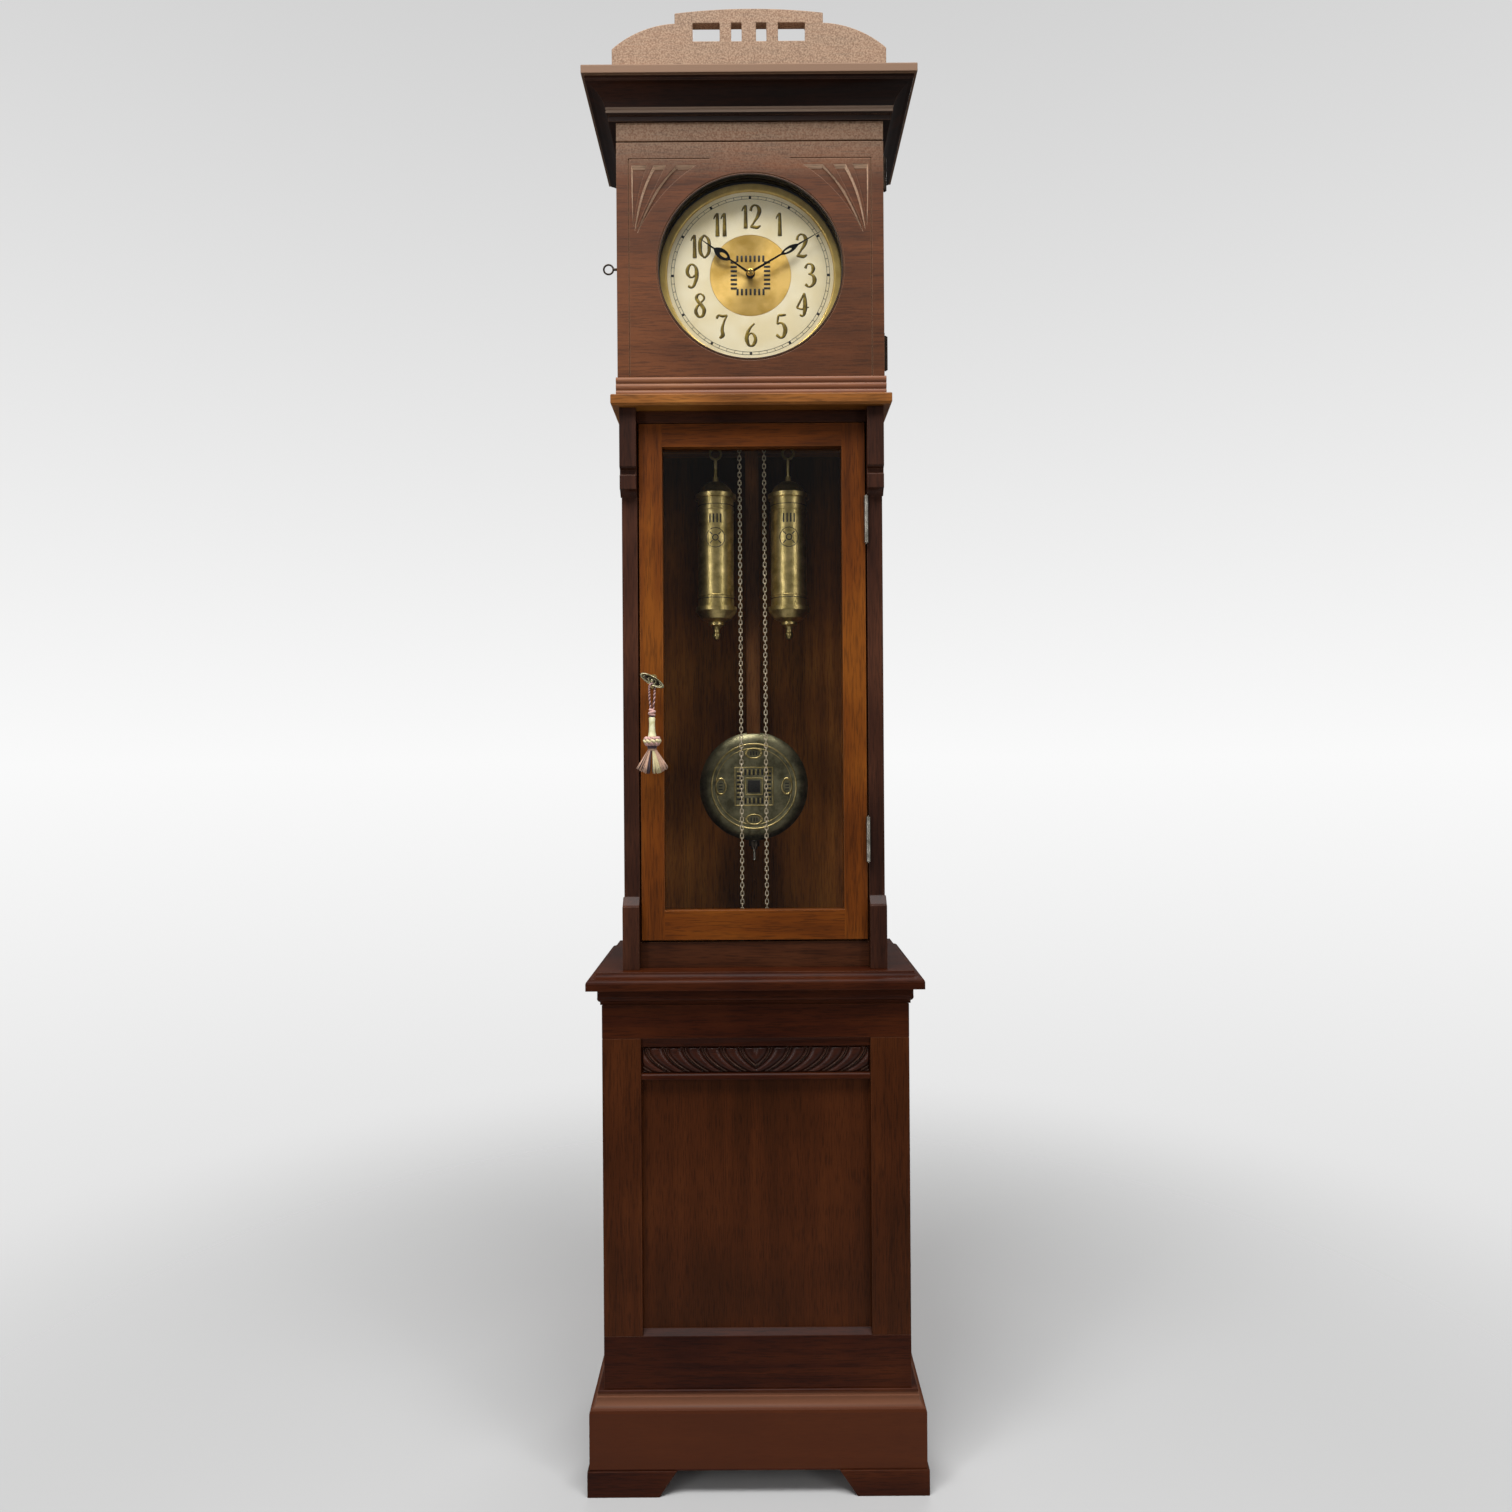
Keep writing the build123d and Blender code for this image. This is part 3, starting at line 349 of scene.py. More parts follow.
def brushedDisc(name, bright, tarnish, centre):
    # turned brass: the brushing runs round the centre, so light gathers in cones
    material, tree = startMaterial(name)
    here = addNode(tree, "ShaderNodeTexCoord").outputs["Object"]
    outward = addNode(tree, "ShaderNodeVectorMath", {0: here}, operation="SUBTRACT")
    outward.inputs[1].default_value = centre
    round_ = addNode(tree, "ShaderNodeVectorMath", {0: outward.outputs[0]}, operation="CROSS_PRODUCT")
    round_.inputs[1].default_value = (0, 1, 0)
    distance = addNode(tree, "ShaderNodeVectorMath", {0: outward.outputs[0]}, operation="LENGTH")
    rings = addNode(tree, "ShaderNodeTexNoise", {"W": distance.outputs["Value"]}, noise_dimensions="1D",
                    Scale=2600.0, Detail=2.0)
    clouds = addNode(tree, "ShaderNodeTexNoise", {"Vector": here}, Scale=45.0, Detail=4.0)
    colour = colourRamp(tree, clouds.outputs["Fac"], [(0.35, tarnish), (0.6, bright)])
    relief = addNode(tree, "ShaderNodeBump", {"Height": rings.outputs["Fac"]}, Strength=0.08, Distance=0.0002)
    shader = addNode(tree, "ShaderNodeBsdfPrincipled", {"Base Color": colour.outputs[0],
                                                       "Normal": relief.outputs[0], "Tangent": round_.outputs[0]},
                     Metallic=0.55, Roughness=0.38, Anisotropic=0.8)
    finishMaterial(tree, shader)
    return material


def glassMaterial(name):
    # old window glass: clear, with a weak reflection that grows at a glancing angle
    material, tree = startMaterial(name)
    clear = addNode(tree, "ShaderNodeBsdfTransparent", Color=linear("#FBFBFA"))
    gloss = addNode(tree, "ShaderNodeBsdfGlossy", Roughness=0.02)
    angle = addNode(tree, "ShaderNodeLayerWeight", Blend=0.25)
    amount = addNode(tree, "ShaderNodeMapRange", {"Value": angle.outputs["Facing"]}, To_Min=0.015, To_Max=0.5)
    mixed = addNode(tree, "ShaderNodeMixShader", {0: amount.outputs[0], 1: clear.outputs[0], 2: gloss.outputs[0]})
    finishMaterial(tree, mixed)
    return material


def clothMaterial(name, light, dark, scale):
    # spun silk or cotton: soft, with fine streaks of colour
    material, tree = startMaterial(name)
    here = addNode(tree, "ShaderNodeTexCoord").outputs["Object"]
    streaks = addNode(tree, "ShaderNodeTexNoise", {"Vector": here}, Scale=scale, Detail=4.0)
    colour = colourRamp(tree, streaks.outputs["Fac"], [(0.35, dark), (0.65, light)])
    relief = addNode(tree, "ShaderNodeBump", {"Height": streaks.outputs["Fac"]}, Strength=0.3, Distance=0.0004)
    shader = addNode(tree, "ShaderNodeBsdfPrincipled", {"Base Color": colour.outputs[0],
                                                       "Normal": relief.outputs[0]}, Roughness=0.85)
    shader.inputs["Sheen Weight"].default_value = 0.3
    finishMaterial(tree, shader)
    return material


def plainPaint(name, light, dark, rough, scale=60.0, metallic=0.0):
    # ink (also used for painted shadows), ivory, plaster or a dull silvering, with a faint mottling
    material, tree = startMaterial(name)
    here = addNode(tree, "ShaderNodeTexCoord").outputs["Object"]
    clouds = addNode(tree, "ShaderNodeTexNoise", {"Vector": here}, Scale=scale, Detail=4.0)
    colour = colourRamp(tree, clouds.outputs["Fac"], [(0.35, dark), (0.65, light)])
    shader = addNode(tree, "ShaderNodeBsdfPrincipled", {"Base Color": colour.outputs[0]}, Roughness=rough,
                     Metallic=metallic)
    finishMaterial(tree, shader)
    return material


# mahogany, polished, in tones that differ from part to part: near-black red below, orange on the trunk door, paler
# above
baseUpright = woodMaterial("mahoganyBaseUpright", "#371906", "#431F09", "#4E260D", "Z", 0.42, 0.0, edge="#7A4E36",
                           shine=0.12)
# the pale belt on top of the plinth's moulding (0.118 to 0.134 m) is a painted highlight; the lower belt is the
# plinth board's own tone
baseLying = woodMaterial("mahoganyBaseLying", "#280C04", "#371506", "#451E09", "X", 0.42, 2.0, edge="#7A4E36",
                         shine=0.12, tints=((0.037, 0.118, 0.5 * mm, 0.6, "#562C18"),
                                      (0.118, 0.134, 2 * mm, 0.5, "#8E6048")))
carvedWood = woodMaterial("carvedMahogany", "#26100A", "#38190E", "#472414", "X", 0.3, 3.0, edge="#8A7060",
                          shine=0.25)
trunkUpright = woodMaterial("mahoganyTrunkUpright", "#27120A", "#3A1E12", "#4C2A1A", "Z", 0.42, 4.0, edge="#7A5540")
trunkLying = woodMaterial("mahoganyTrunkLying", "#2C140A", "#40200F", "#532D18", "X", 0.42, 6.0, edge="#8E6546")
capWood = woodMaterial("mahoganyTrunkCap", "#6A3E18", "#925A26", "#B07634", "X", 0.42, 7.0, edge="#C09468",
                       tints=((1.503, 1.54, 0.8 * mm, 0.75, "#6E4636"),))
doorUpright = woodMaterial("mahoganyDoorUpright", "#4C2304", "#683307", "#7E440D", "Z", 0.42, 8.0, edge="#A9703E",
                           railWithin=railInner)
# the wall of the round opening in the hood door is painted black as shade
hoodLying = woodMaterial("mahoganyHoodLying", "#45230D", "#552C12", "#653719", "X", 0.5, 10.0, "#B0957B",
                         "#A88468", paintedShadeWithin=128.2 * mm)
# the cornice's near-black tone is partly painted shade of the deep cove on dark wood; its two pale belts are painted
# highlights on the mouldings, with some rubbed finish
corniceWood = woodMaterial("mahoganyCornice", "#180904", "#261006", "#36190B", "X", 0.5, 11.0, None, "#8E6C55",
                           tints=((1.8915, 1.8985, 0.4 * mm, 0.8, "#A48C7A"),
                                  (1.927, 1.945, 0.4 * mm, 0.6, "#96755C")))
# pale wood for the flute walls: a painted highlight where light catches them
fluteHighlightWood = woodMaterial("fluteWallPaintedHighlight", "#B08E74", "#CBA88C", "#DFC2A8", "X", 0.6, 13.0)
hoodUpright = woodMaterial("mahoganyHoodUpright", "#3E1F0A", "#532A11", "#65371A", "Z", 0.5, 12.0, "#BBA286",
                           "#A88468")
# the belt from 1.33 m up is painted shade: the top of the trunk behind the weights darkened as if in shadow
pineBoard = woodMaterial("pineBoardPaintedShadeAbove", "#82481A", "#A66224", "#BF7830", "Z", 0.55, 14.0,
                         tints=((1.33, 2.2, 0.12, 0.85, "#1A0E06"),))
# near-black for the dial mask and glazing ring: partly their own blackened wood, partly painted shade inside the hood
darkAndShadedMask = woodMaterial("blackenedAndShadedMask", "#0E0906", "#17100B", "#20160F", "Z", 0.6, 15.0)
rodWood = woodMaterial("pendulumRodWood", "#4E2C12", "#744622", "#8E5E32", "Z", 0.4, 16.0)

polishedBrass = metalMaterial("polishedBrass", "#E0C272", "#B8954C", 0.24, 0.06)
antiqueBrass = metalMaterial("antiqueBrass", "#E2CB8C", "#A8955C", 0.36, 0.08, 60.0)
bobBrass = metalMaterial("tarnishedBobBrass", "#AAA482", "#68644C", 0.4, 0.08, 40.0)
nickelSteel = metalMaterial("nickelSteel", "#B4AFA4", "#7E7A70", 0.42, 0.08, 140.0)
chainSteel = plainPaint("wornPlatedChain", "#F0E0C6", "#C4B292", 0.4, 400.0, 0.35)
bluedSteel = metalMaterial("bluedSteel", "#1B1D24", "#0B0C10", 0.28, 0.08)
darkIron = metalMaterial("brownedIron", "#4A4038", "#2A2420", 0.42, 0.08)
windowGlass = glassMaterial("windowGlass")
keyMetal = metalMaterial("wornKeyBrass", "#C2BC9E", "#8B8566", 0.4, 0.08, 200.0)
bezelBrass = plainPaint("bezelBrass", "#E6C876", "#D2B060", 0.35, 60.0, 0.5)
numeralInk = plainPaint("numeralBrass", "#9E862F", "#5E4C14", 0.36, 120.0, 0.4)
# black wax for print and inlays; it also paints the shadows of the numerals
blackInkAndShadow = plainPaint("blackWaxAndPaintedShadow", "#17130D", "#0B0906", 0.5)
silveredBrass = plainPaint("silveredBrass", "#FFF3D2", "#F6E6BC", 0.45, 30.0, 0.12)
pinkSilk = clothMaterial("pinkSilkCord", "#D9AFA6", "#B98A82", 900.0)
darkSilk = clothMaterial("darkSilkCord", "#4A2F3C", "#2B1A24", 900.0)
creamSilk = clothMaterial("creamSilk", "#E8DDB0", "#CDBB86", 700.0)
roseSilk = clothMaterial("roseBeigeSilk", "#D8B49A", "#B78C74", 700.0)
ivoryStem = plainPaint("ivoryStem", "#E9E6BE", "#D3CD98", 0.35, 200.0)
dialDisc = brushedDisc("brushedDialDisc", "#F4CB74", "#D9AE52", (0, -0.081, 1.681))

nodeMaterials = {
    baseUpright: ["base_stiles", "base_panel", "case_sides"],
    baseLying: ["feet", "plinth", "base_rails", "base_top_moulding"],
    trunkUpright: ["trunk_pilasters"],
    trunkLying: ["trunk_rails"],
    doorUpright: ["trunk_door_frame", "trunk_glazing_beads"],
    hoodLying: ["hood_frieze", "crest", "hood_door_frame"],
    corniceWood: ["cornice"],
    capWood: ["trunk_cap"],
    hoodUpright: ["hood_sides"],
    pineBoard: ["backboard", "seat_board"],
    darkAndShadedMask: ["dial_mask", "hood_glazing_ring"],
    dialDisc: ["dial_centre"],
    bezelBrass: ["dial_bezel"],
    rodWood: ["pendulum_rod"],
    polishedBrass: ["movement_frame", "pendulum_cock", "minute_arbor",
                    "left_chain_wheel", "right_chain_wheel", "escape_wheel"],
    antiqueBrass: ["trunk_lock", "left_weight_tube", "right_weight_tube", "left_weight_caps", "right_weight_caps"],
    bobBrass: ["pendulum_bob"],
    silveredBrass: ["chapter_ring"],
    nickelSteel: ["trunk_hinge_case_leaves", "trunk_hinge_door_leaves", "trunk_lock_bolt",
                  "pendulum_steel", "anchor", "hammer", "gong"],
    darkIron: ["hood_hinge_case_leaves", "hood_hinge_door_leaves", "hood_key", "rating_nut"],
    bluedSteel: ["hour_hand", "minute_hand"],
    windowGlass: ["trunk_door_glass", "hood_door_glass"],
}
for material, names in nodeMaterials.items():
    for name in names:
        nodes[name].data.materials.clear()
        nodes[name].data.materials.append(material)
print("materials done")

# worn, rounded arrises on the boards: the CAD triangles are welded first
arrises = {"feet": 1.0, "plinth": 0.8, "base_rails": 0.7, "base_stiles": 0.9, "case_sides": 1.0,
           "base_top_moulding": 0.6, "trunk_pilasters": 0.8, "trunk_rails": 0.8, "trunk_cap": 0.6,
           "hood_sides": 1.0, "hood_frieze": 0.8, "cornice": 0.6, "crest": 1.0}
for name, width in arrises.items():
    weld = nodes[name].modifiers.new("weld", "WELD")
    weld.merge_threshold = 0.02 * mm
    arris = nodes[name].modifiers.new("arris", "BEVEL")
    arris.width = width * mm
    arris.segments = 2
    arris.limit_method = "ANGLE"
    arris.angle_limit = math.radians(28)
    arris.harden_normals = False

# ---- carved leaves in the base ----

carving = {"halfWidth": 155.5 * mm, "low": 568.5 * mm, "high": 603 * mm, "back": -121.0 * mm, "relief": 5.2 * mm,
           "pitch": 26.0 * mm, "sweep": 33 * mm, "columns": 560, "rows": 46}


def leafHeight(x, v):
    # leaves spring from the middle, lie flat below and stand up at the top
    along = abs(x) - carving["sweep"] * (1 - (1 - v) ** 2)
    phase = (along / carving["pitch"] + 0.35) % 1.0
    body = math.sin(math.pi * min(1, phase / 0.74)) ** 0.7 if phase < 0.74 else 0
    vein = math.exp(-((phase - 0.80) / 0.035) ** 2) + 0.8 * math.exp(-((phase - 0.91) / 0.03) ** 2)
    return min(1.0, 0.75 * body + 0.85 * vein)


def carvedStrip():
    bpy.ops.mesh.primitive_grid_add(x_subdivisions=carving["columns"], y_subdivisions=carving["rows"], size=1)
    strip = bpy.context.object
    tall = carving["high"] - carving["low"]
    for vertex in strip.data.vertices:
        x = vertex.co.x * 2 * carving["halfWidth"]
        v = vertex.co.y + 0.5
        edge = min(1, v / 0.04, (1 - v) / 0.04, (0.5 - abs(vertex.co.x)) / 0.004)
        height = carving["relief"] * leafHeight(x, v) * max(0, edge)
        vertex.co = (x, carving["back"] - height - 0.1 * mm, carving["low"] + v * tall)
    settle(strip, "carvedLeaves", carvedWood)
    thick = strip.modifiers.new("thick", "SOLIDIFY")
    thick.thickness = 1.0 * mm
    thick.offset = -1
    applyModifiers(strip)
    return joinPieces([strip], "carvedLeaves", "case")


deselectAll()
carvedStrip()
print("carving done")

# ---- pale sloping facets inside the flutes over the dial, a painted highlight on the flute walls ----

flute = {"front": -109.9 * mm, "floor": -107.05 * mm, "top": 1821.5 * mm, "slope": 4.6 * mm, "steps": 18,
         "edges": (((-163.8, 1821.5), (-163.6, 1779), (-161.8, 1737), -142.6),
                   ((-133, 1821.5), (-149.5, 1783.3), (-159.6, 1731), -116),
                   ((-101.2, 1821.5), (-129.2, 1787.5), (-156.6, 1727), -74.2))}


def facetStrip(outer, inner):
    # outer runs along the cut at the face of the door, inner along the foot of the slope
    deselectAll()
    bpy.ops.mesh.primitive_grid_add(x_subdivisions=len(outer) - 1, y_subdivisions=1, size=1)
    strip = bpy.context.object
    for vertex in strip.data.vertices:
        k = round((vertex.co.x + 0.5) * (len(outer) - 1))
        (x, z), y = (inner[k], flute["floor"]) if vertex.co.y > 0 else (outer[k], flute["front"])
        vertex.co = (x, y, z)
    thick = strip.modifiers.new("thick", "SOLIDIFY")
    thick.thickness = 0.2 * mm
    thick.offset = 0
    applyModifiers(strip)
    return settle(strip, "facet", fluteHighlightWood, smooth=False)


def fluteFacets():
    facets = []
    for side in (1, -1):
        for number, (start, through, tip, right) in enumerate(flute["edges"]):
            steer = [2 * m - (a + b) / 2 for a, m, b in zip(start, through, tip)]
            outer, inner = [], []
            for k in range(flute["steps"] + 1):
                t = k / flute["steps"]
                x, z = [((1 - t) ** 2 * a + 2 * t * (1 - t) * c + t * t * b) * mm
                        for a, c, b in zip(start, steer, tip)]
                wide = flute["slope"] * (0.35 if number == 0 else 0.8) * (1 - t) ** 0.7
                outer.append((side * x, z))
                inner.append((side * (x + wide), z - 0.25 * wide))
            facets.append(facetStrip(outer, inner))
            left, last = start[0] * mm, right * mm
            outer = [(side * left, flute["top"]), (side * last, flute["top"])]
            inner = [(side * (left + 1.2 * mm), flute["top"] - flute["slope"]),
                     (side * (last - 2.6 * mm), flute["top"] - flute["slope"])]
            facets.append(facetStrip(outer, inner))
    return joinPieces(facets, "fluteFacets", "hood_door")


fluteFacets()
print("flutes done")

# ---- chains ----

chain = {"pitch": 6.0 * mm, "wire": 0.7 * mm, "half": 2.3 * mm, "straight": 1.5 * mm, "y": -25 * mm,
         "wheelZ": 1610 * mm, "wheelX": 35.5 * mm, "turn": 17.5 * mm, "drop": 0.95, "hiddenTo": 1545 * mm,
         "hook": 1455 * mm, "tail": 480 * mm}


def chainLink():
    # an oval link of round wire: a ring drawn out into straight sides
    deselectAll()
    bpy.ops.mesh.primitive_torus_add(major_segments=12, minor_segments=6, major_radius=chain["half"],
                                     minor_radius=chain["wire"])
    link = bpy.context.object
    for vertex in link.data.vertices:
        vertex.co.y += math.copysign(chain["straight"], vertex.co.y + 0.01 * mm)
    return settle(link, "chainLink", chainSteel)


def chainOf(places, name):
    # copies of one link, each a quarter turn from the last
    pattern = chainLink()
    links = []
    for number, (centre, along) in enumerate(places):
        side = Vector((0, 1, 0)) if number % 2 else Vector((0, 1, 0)).cross(along)
        link = pattern.copy()
        link.data = pattern.data.copy()
        facing = Matrix((side, along, side.cross(along))).transposed().to_4x4()
        link.data.transform(Matrix.Translation(centre) @ facing)
        bpy.context.scene.collection.objects.link(link)
        links.append(link)
    bpy.data.objects.remove(pattern)
    return joinPieces(links, name, None)


def straightRun(x, top, bottom):
    down = Vector((0, 0, -1))
    count = round((top - bottom) / chain["pitch"])
    return [((x, chain["y"], top - (k + 0.5) * (top - bottom) / count), down) for k in range(count)]


def packUpward(z):
    # where a point that hangs at z with the weight at its lowest stands with the weight at its highest
    low, high = 0.0, 1.0
    length = chain["wheelZ"] - chain["hiddenTo"]
    for _ in range(40):
        t = (low + high) / 2
        reached = chain["wheelZ"] - length * t - chain["drop"] * t * t * (3 - 2 * t)
        low, high = (t, high) if reached > z else (low, t)
    return chain["wheelZ"] - length * low if low < 0.9999 else z + chain["drop"]


for side, sign in (("left", -1), ("right", 1)):
    outer, inner = sign * 53 * mm, sign * 18 * mm
    loaded = chainOf(straightRun(outer, chain["wheelZ"], chain["hook"] - chain["drop"]), side + "LoadedChain")
    for vertex in loaded.data.vertices:
        vertex.co.z = packUpward(vertex.co.z)
    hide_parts(side + "_loaded_chain")
    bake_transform(loaded)

    free = chainOf(straightRun(inner, chain["wheelZ"], chain["tail"]), side + "FreeChain")
    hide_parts(side + "_free_chain")
    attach(free, "case")
    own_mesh(free)

    overWheel = []
    for k in range(9):
        a = math.pi * (k + 0.5) / 9
        centre = (sign * (chain["wheelX"] + chain["turn"] * math.cos(a)), chain["y"],
                  chain["wheelZ"] + chain["turn"] * math.sin(a))
        overWheel.append((centre, Vector((-sign * math.sin(a), 0, math.cos(a)))))
    over = chainOf(overWheel, side + "ChainOverWheel")
    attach(over, "case")

    endRing = ringPiece((inner, chain["y"], chain["tail"] - 9 * mm), 8 * mm, 1.1 * mm, chainSteel,
                        side + "ChainEndRing", segments=(40, 10))
    joinPieces([endRing], side + "ChainEndRing", side + "_tail")
print("chains done")

# ---- dial furniture ----

dial = {"z": dialAxis, "face": -81.2 * mm, "track": 110 * mm, "trackLines": (108 * mm, 112 * mm),
        "minute": (0.6 * mm, 0.5 * mm, 3.8 * mm), "fifthMinute": (3.4 * mm, 0.6 * mm, 4.4 * mm),
        "numerals": 83 * mm, "tall": 32.5 * mm, "wide": 14.0 * mm, "pen": 1.85 * mm,
        "step": {"10": 1.0, "11": 0.72, "12": 0.95}, "slots": 7, "slotPitch": 6.1, "slotRow": 23.5, "slot": (3, 9)}


def dialPoint(radius, degrees, lift=0.0):
    a = math.radians(degrees)
    return Vector((radius * math.sin(a), dial["face"] - lift, dial["z"] + radius * math.cos(a)))


def minuteTrack():
    pieces = [ringPiece((0, dial["face"], dial["z"]), radius, 0.3 * mm, blackInkAndShadow, segments=(160, 6))
              for radius in dial["trackLines"]]
    for minute in range(60):
        size, bevel = (dial["minute"], 0.08 * mm) if minute % 5 else (dial["fifthMinute"], 0.12 * mm)
        pieces.append(softBar(dialPoint(dial["track"], 6 * minute), size, blackInkAndShadow, bevel=bevel,
                              turn=math.radians(6 * minute)))
    return joinPieces(pieces, "minuteTrack", "case")


# each figure is drawn with pen strokes: across (0 to 1), up (0 to 2) and half the pen's width
strokes = {
    "0": [[(0.5, 2, 0.5), (0.12, 1.6, 1.2), (0.04, 1, 1.4), (0.12, 0.4, 1.2), (0.5, 0, 0.5)],
          [(0.5, 2, 0.5), (0.88, 1.6, 1.0), (0.96, 1, 1.2), (0.88, 0.4, 1.0), (0.5, 0, 0.5)]],
    "1": [[(0.5, 2, 0.8), (0.5, 1.4, 1.1), (0.5, 0.7, 1.2), (0.5, 0, 1.4)],
          [(0.5, 1.95, 0.8), (0.3, 1.8, 0.5), (0.12, 1.5, 0.2)]],
    "2": [[(0.05, 1.5, 0.9), (0.2, 1.88, 0.6), (0.55, 2, 0.6), (0.92, 1.65, 1.4), (0.85, 1.2, 1.3),
           (0.45, 0.6, 0.6), (0.05, 0.08, 0.5)],
          [(0.03, 0.1, 0.5), (0.3, 0.12, 1.2), (0.7, 0.08, 1.2), (1.05, 0.22, 0.4)]],
    "3": [[(0.08, 1.6, 0.9), (0.3, 1.95, 0.5), (0.65, 1.95, 0.7), (0.88, 1.6, 1.3), (0.7, 1.2, 0.7),
           (0.4, 1.1, 0.4)],
          [(0.4, 1.1, 0.4), (0.8, 1, 0.8), (1, 0.6, 1.5), (0.8, 0.15, 0.9), (0.4, 0, 0.6), (0.1, 0.2, 1)]],
    "4": [[(0.75, 2, 0.5), (0.4, 1.4, 0.6), (0, 0.72, 0.6)], [(0, 0.72, 0.6), (0.5, 0.62, 0.6), (1.2, 0.78, 0.3)],
          [(0.75, 2, 0.6), (0.82, 1.3, 1.4), (0.8, 0.6, 1.5), (0.6, 0.05, 0.7), (0.3, 0.1, 0.8)]],
    "5": [[(0.3, 1.95, 0.6), (0.6, 1.97, 1), (1.05, 2, 0.6)], [(0.3, 1.95, 0.6), (0.22, 1.55, 0.6), (0.18, 1.2, 0.5)],
          [(0.18, 1.2, 0.5), (0.55, 1.3, 0.7), (0.95, 0.9, 1.4), (0.95, 0.45, 1.4), (0.6, 0.02, 0.8),
           (0.1, 0.25, 1)]],
    "6": [[(0.85, 1.95, 0.5), (0.45, 1.6, 0.7), (0.12, 1, 1.3), (0.08, 0.45, 1.4), (0.45, 0, 0.7),
           (0.9, 0.35, 1.2), (0.85, 0.85, 1), (0.5, 1.1, 0.5), (0.15, 0.85, 0.5)]],
    "7": [[(0, 1.72, 0.8), (0.2, 1.98, 0.7), (0.6, 1.92, 1), (1.05, 2, 0.5)],
          [(1.05, 2, 0.5), (0.72, 1.35, 0.6), (0.55, 0.7, 1.1), (0.6, 0.25, 1.4), (0.3, 0, 0.7)]],
    "8": [[(0.85, 1.85, 0.7), (0.5, 2, 0.5), (0.15, 1.7, 1), (0.3, 1.35, 1.2), (0.7, 0.95, 1.3), (0.92, 0.5, 1.3),
           (0.55, 0, 0.7), (0.1, 0.35, 1.2), (0.2, 0.85, 0.8), (0.6, 1.25, 0.5), (0.92, 1.6, 0.6),
           (0.85, 1.85, 0.7)]],
    "9": [[(0.15, 0.12, 0.9), (0.45, 0, 0.7), (0.85, 0.5, 1.1), (0.98, 1.3, 1.4), (0.8, 1.85, 0.8), (0.45, 2, 0.6),
           (0.08, 1.6, 1.2), (0.12, 1.1, 1.1), (0.5, 0.88, 0.5), (0.85, 1.1, 0.5)]],
}


def penStrokes(lines, material, proud):
    # pen lines with a low rounded face, standing proud by a share of their half width
    piece = drawnWires([points for points, widths in lines], [widths for points, widths in lines], "penStrokes",
                       material, curved=True)
    for vertex in piece.data.vertices:
        vertex.co.y = dial["face"] + (vertex.co.y - dial["face"]) * proud
    return piece


def numerals():
    faces, edges = [], []
    for hour in range(1, 13):
        figures = str(hour)
        step = dial["step"].get(figures, 0) * dial["wide"]
        centre = dialPoint(dial["numerals"], 30 * hour)
        for place, figure in enumerate(figures):
            middle = centre.x + (place - (len(figures) - 1) / 2) * step
            for stroke in strokes[figure]:
                points = [Vector((middle + (u - 0.5) * dial["wide"], dial["face"],
                                  centre.z + (v / 2 - 0.5) * dial["tall"])) for u, v, _ in stroke]
                widths = [dial["pen"] * w for _, _, w in stroke]
                faces.append((points, widths))
                # each stroke also gets a painted shadow: a wider dark copy set a little lower and to the right
                lowered = [p + Vector((0.55 * mm, 0, -0.35 * mm)) for p in points]
                edges.append((lowered, [w + 0.25 * mm for w in widths]))
    joinPieces([penStrokes(faces, numeralInk, 0.4)], "numerals", "case")
    joinPieces([penStrokes(edges, blackInkAndShadow, 0.08)], "numeralShadows", "case")


def slotSquare(rule, y, z, deep, material, size, shift=0.0):
    # bars in four rows round a square, upright above and below, lying at the sides
    wide, long = size[0] * mm, size[1] * mm
    bars = []
    for k in range(rule["slots"]):
        across = (k - (rule["slots"] - 1) / 2 + shift) * rule["slotPitch"] * mm
        for sign in (-1, 1):
            away = sign * rule["slotRow"] * mm
            bars.append(softBar((across, y, z + away), (wide, deep, long), material, bevel=0.2 * mm))
            bars.append(softBar((away, y, z + across), (long, deep, wide), material, bevel=0.2 * mm))
    return bars


def centreOrnament():
    bars = slotSquare(dial, dial["face"], dial["z"], 0.7 * mm, blackInkAndShadow, dial["slot"])
    return joinPieces(bars, "centreOrnament", "case")


minuteTrack()
numerals()
centreOrnament()
print("dial done")

# ---- engraving on the weights ----

weight = {"x": 53 * mm, "y": -25 * mm, "r": 26 * mm, "bars": (1346 * mm, 5.2 * mm, (2.2 * mm, 0.5 * mm, 13 * mm)),
          "wheel": 1318 * mm, "rim": 14 * mm, "hub": 4 * mm, "spoke": (1.6 * mm, 0.5 * mm, 6 * mm),
          "bands": ((1232, 0.5, blackInkAndShadow), (1236, 0.9, antiqueBrass), (1360, 0.9, antiqueBrass),
                    (1367, 0.5, blackInkAndShadow))}


def wrapOnWeight(piece, x, lift):
    # bends a flat piece, drawn in front of the weight, round its barrel
    for vertex in piece.data.vertices:
        across = (vertex.co.x - x) / weight["r"]
        depth = vertex.co.y
        reach = weight["r"] + lift - depth
        vertex.co.x = x + reach * math.sin(across)
        vertex.co.y = weight["y"] - reach * math.cos(across)
    return piece


